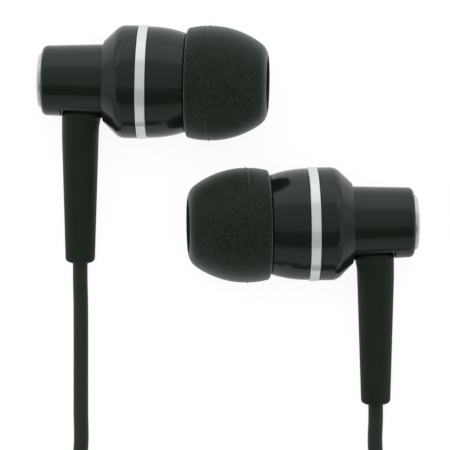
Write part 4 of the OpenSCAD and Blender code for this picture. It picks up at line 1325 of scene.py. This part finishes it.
class EARPHONES_OT_reliefs(bpy.types.Operator):
    """Moulds the two tapered strain reliefs with their grommets"""

    bl_idname = "earphones.reliefs"
    bl_label = "Strain reliefs"

    def execute(self, context):
        # A slot parts the relief from the neck's notch, and a stem crosses it, thinnest at its two
        # sides. The rows run down the stem from the notch, out of the slot, down the outside, round
        # the end, up the bore, and out through the flange and the grommet to the notch again. Each
        # is a radius and a distance from the earpiece's axis.
        soft, neck, a = settings().soft, settings().housing.neck_rear, around(96)
        c, s = np.cos(a), np.sin(a)
        bore, inside = settings().cords.branch_diameter / 2 + CLEAR, NECK_BORE - CLEAR
        end, lip, edge = soft.relief_reach, 0.42 * MM, 0.08 * MM
        flange, grommet, flange_at = 1.75 * MM, 1.3 * MM, 1.7 * MM
        thinner, side_thinner, easing = 0.02 * MM, 0.32 * MM, 0.1 * MM

        def saddle(radius, on):
            """Distance at which a point of that radius lies on a cylinder of the radius on."""
            return np.sqrt(on**2 - (radius * s) ** 2)

        foot_r = relief_radius(c, soft.relief_seat)
        stem = foot_r - thinner - side_thinner * np.abs(s)
        turn = np.minimum(easing, 0.8 * (foot_r - stem))
        seat = relief_seat(-stem * s, stem * c)
        foot = relief_seat(-foot_r * s, foot_r * c, soft.relief_slot)
        rows = [(stem, seat - 0.04 * MM), (stem, 0.5 * (seat + foot)), (stem, foot)]
        rows += [(foot_r - 1.1 * turn, foot), (foot_r - turn, foot)]
        for t in np.radians([20, 45, 70, 90]):
            rows.append((foot_r - turn * (1 - math.sin(t)), foot + turn * (1 - math.cos(t))))
        top = foot + 0.14 * MM
        for t in np.linspace(0, 1, 90) ** 1.3:
            v = top + (end - lip - top) * t
            rows.append((relief_radius(c, v), v))
        last = relief_radius(c, end - lip)
        for t in np.radians([12, 26, 40, 55, 72, 90]):
            rows.append((last - lip * (1 - math.cos(t)), end - lip * (1 - math.sin(t))))
        rows += [(bore + edge, end), (bore, end - edge)]
        rows += [(bore, v) for v in np.linspace(end - 0.3 * MM, flange_at, 12)]
        rows += [(flange, flange_at), (flange, saddle(flange, inside))]
        rows += [(grommet, saddle(grommet, inside)), (grommet, saddle(grommet, neck))]
        r, v = np.moveaxis([np.broadcast_arrays(*row, s)[:2] for row in rows], 1, 0)
        parts = [(grid(r * s, -v, soft.relief_at + r * c), True, grid(r * s, r * c, v))]
        put_pair("relief", "satin_rubber", parts, "strain_relief")
        return {"FINISHED"}


# ---------------------------------------------------------------- inside the housings

# Place along the axis where the leads meet the terminal board's rear face.
BOARD_AT = 9.18 * MM


class EARPHONES_OT_leads(bpy.types.Operator):
    """Runs each cord's last stretch through the strain relief to its knot, and its leads on"""

    bl_idname = "earphones.leads"
    bl_label = "Inner cords"

    def execute(self, context):
        # The knot is a swelling of the cord's radius: the root of the knot's radius squared less
        # the square of the distance from its middle.
        soft, at, half = settings().soft, stations(), settings().cords.branch_diameter / 2
        knot, knot_at, thread = 1.19 * MM, 0.45 * MM, 0.13 * MM
        v = np.concatenate([np.linspace(-0.74, 1.9, 40) * MM, np.linspace(2.1 * MM, soft.relief_reach, 40)])
        ball = np.sqrt(np.maximum(knot**2 - (v - knot_at) ** 2, 0))
        radius = np.where(v < knot_at, ball, np.maximum(ball, half))
        parts = [(tube(grid(0, -v, soft.relief_at), radius, 32)[0], False)]
        for x in (-0.6 * MM, 0.6 * MM):
            points = np.array([
                (x, -0.15 * MM, soft.relief_at + 0.5 * MM), (x, 2.1 * MM, soft.relief_at + 1.7 * MM),
                (x, 2.2 * MM, at.neck_end + 0.2 * MM), (x, 4.35 * MM, at.shell_start + 0.05 * MM),
                (x, 4.44 * MM, BOARD_AT),
            ])
            parts.append((tube(curve_through(points, 0.2 * MM), thread, 10, (1, 0, 0))[0], False))
        put_pair("leads", "wire_jacket", parts, "inner_cord")
        return {"FINISHED"}


# The pieces of the driver that keep their shape, and their finishes.
DRIVER_FINISHES = {
    "driver_frame": "grey_plastic",
    "yoke": "plated_steel",
    "magnet": "magnet",
    "pole_plate": "plated_steel",
    "diaphragm": "film",
    "driver_cover": "plated_steel",
    "terminal_board": "board",
}


def winding_profile():
    """Profile of a voice coil whose outside waves with its turns of wire, as a sine without sign."""
    start, long, turns, inner, outer = 11.2 * MM, 1.2 * MM, 14, 2.78 * MM, 3.02 * MM
    wire = long / turns
    z = np.linspace(start, start + long, 12 * turns + 1)
    wave = np.abs(np.sin(math.pi * (z - start) / wire))
    outside = np.stack([outer - 0.3 * wire * (1 - wave), z], axis=1)
    return np.vstack([outside, [(inner, z[-1]), (inner, z[0])]])


def felt_rows():
    """Rows of a sector of felt behind the driver's vents.

    Its section is a rounded strip, a cosine across by a sine up, each held to a near rectangle by
    a root, and is carried along an arc.
    """
    a, b = np.radians(np.linspace(-226, 46, 120))[:, None], around(20)
    low, high, middle, half = 3.84 * MM, 4.85 * MM, 9.56 * MM, 0.124 * MM
    across = (low + high) / 2 + (high - low) / 2 * boxy(np.cos(b), 0.3)
    return grid(across * np.cos(a), across * np.sin(a), middle + half * boxy(np.sin(b), 0.5))


class EARPHONES_OT_drivers(bpy.types.Operator):
    """Winds the voice coils, lays the damping felts and finishes the other driver pieces"""

    bl_idname = "earphones.drivers"
    bl_label = "Drivers"

    def execute(self, context):
        winding, felt = [(lathe(winding_profile(), 96), True)], [(with_ends(felt_rows()), False)]
        for side in SIDES:
            for name, slot in DRIVER_FINISHES.items():
                for held in frame["nodes"][f"{side}_{name}"].material_slots:
                    held.material = finish(slot)
            place, coil = earpiece_place(side), f"{side}_moving_coil"
            put(f"{side}_winding", "copper", winding, [f"{side}_voice_coil"], place, coil, sharp=80.0)
            put(f"{side}_felt", "felt", felt, [f"{side}_damping_felt"], place)
        return {"FINISHED"}


# ---------------------------------------------------------------- panel


STEPS = (
    EARPHONES_OT_stage,
    EARPHONES_OT_plug,
    EARPHONES_OT_splitter,
    EARPHONES_OT_ties,
    EARPHONES_OT_cords,
    EARPHONES_OT_caps,
    EARPHONES_OT_back_shells,
    EARPHONES_OT_rings,
    EARPHONES_OT_front_shells,
    EARPHONES_OT_screens,
    EARPHONES_OT_tips,
    EARPHONES_OT_reliefs,
    EARPHONES_OT_leads,
    EARPHONES_OT_drivers,
)


class EARPHONES_PT_panel(bpy.types.Panel):
    """Lists the pieces in the order they are made"""

    bl_label = "Wired earphones"
    bl_space_type = "VIEW_3D"
    bl_region_type = "UI"
    bl_category = "Earphones"

    def draw(self, context):
        for step in STEPS:
            self.layout.operator(step.bl_idname)


CLASSES = (HousingSizes, SoftSizes, CordSizes, PlugSizes, Colours, Earphones, *STEPS, EARPHONES_PT_panel)


def register():
    """Makes the classes and the settings known to Blender."""
    for found in CLASSES:
        bpy.utils.register_class(found)
    bpy.types.Scene.earphones = PointerProperty(type=Earphones)


def unregister():
    """Takes the settings and the classes out again."""
    del bpy.types.Scene.earphones
    for found in reversed(CLASSES):
        bpy.utils.unregister_class(found)


def main():
    """Makes every piece in order."""
    register()
    for step in STEPS:
        getattr(bpy.ops.earphones, step.bl_idname.split(".")[1])()


if __name__ == "__main__":
    main()
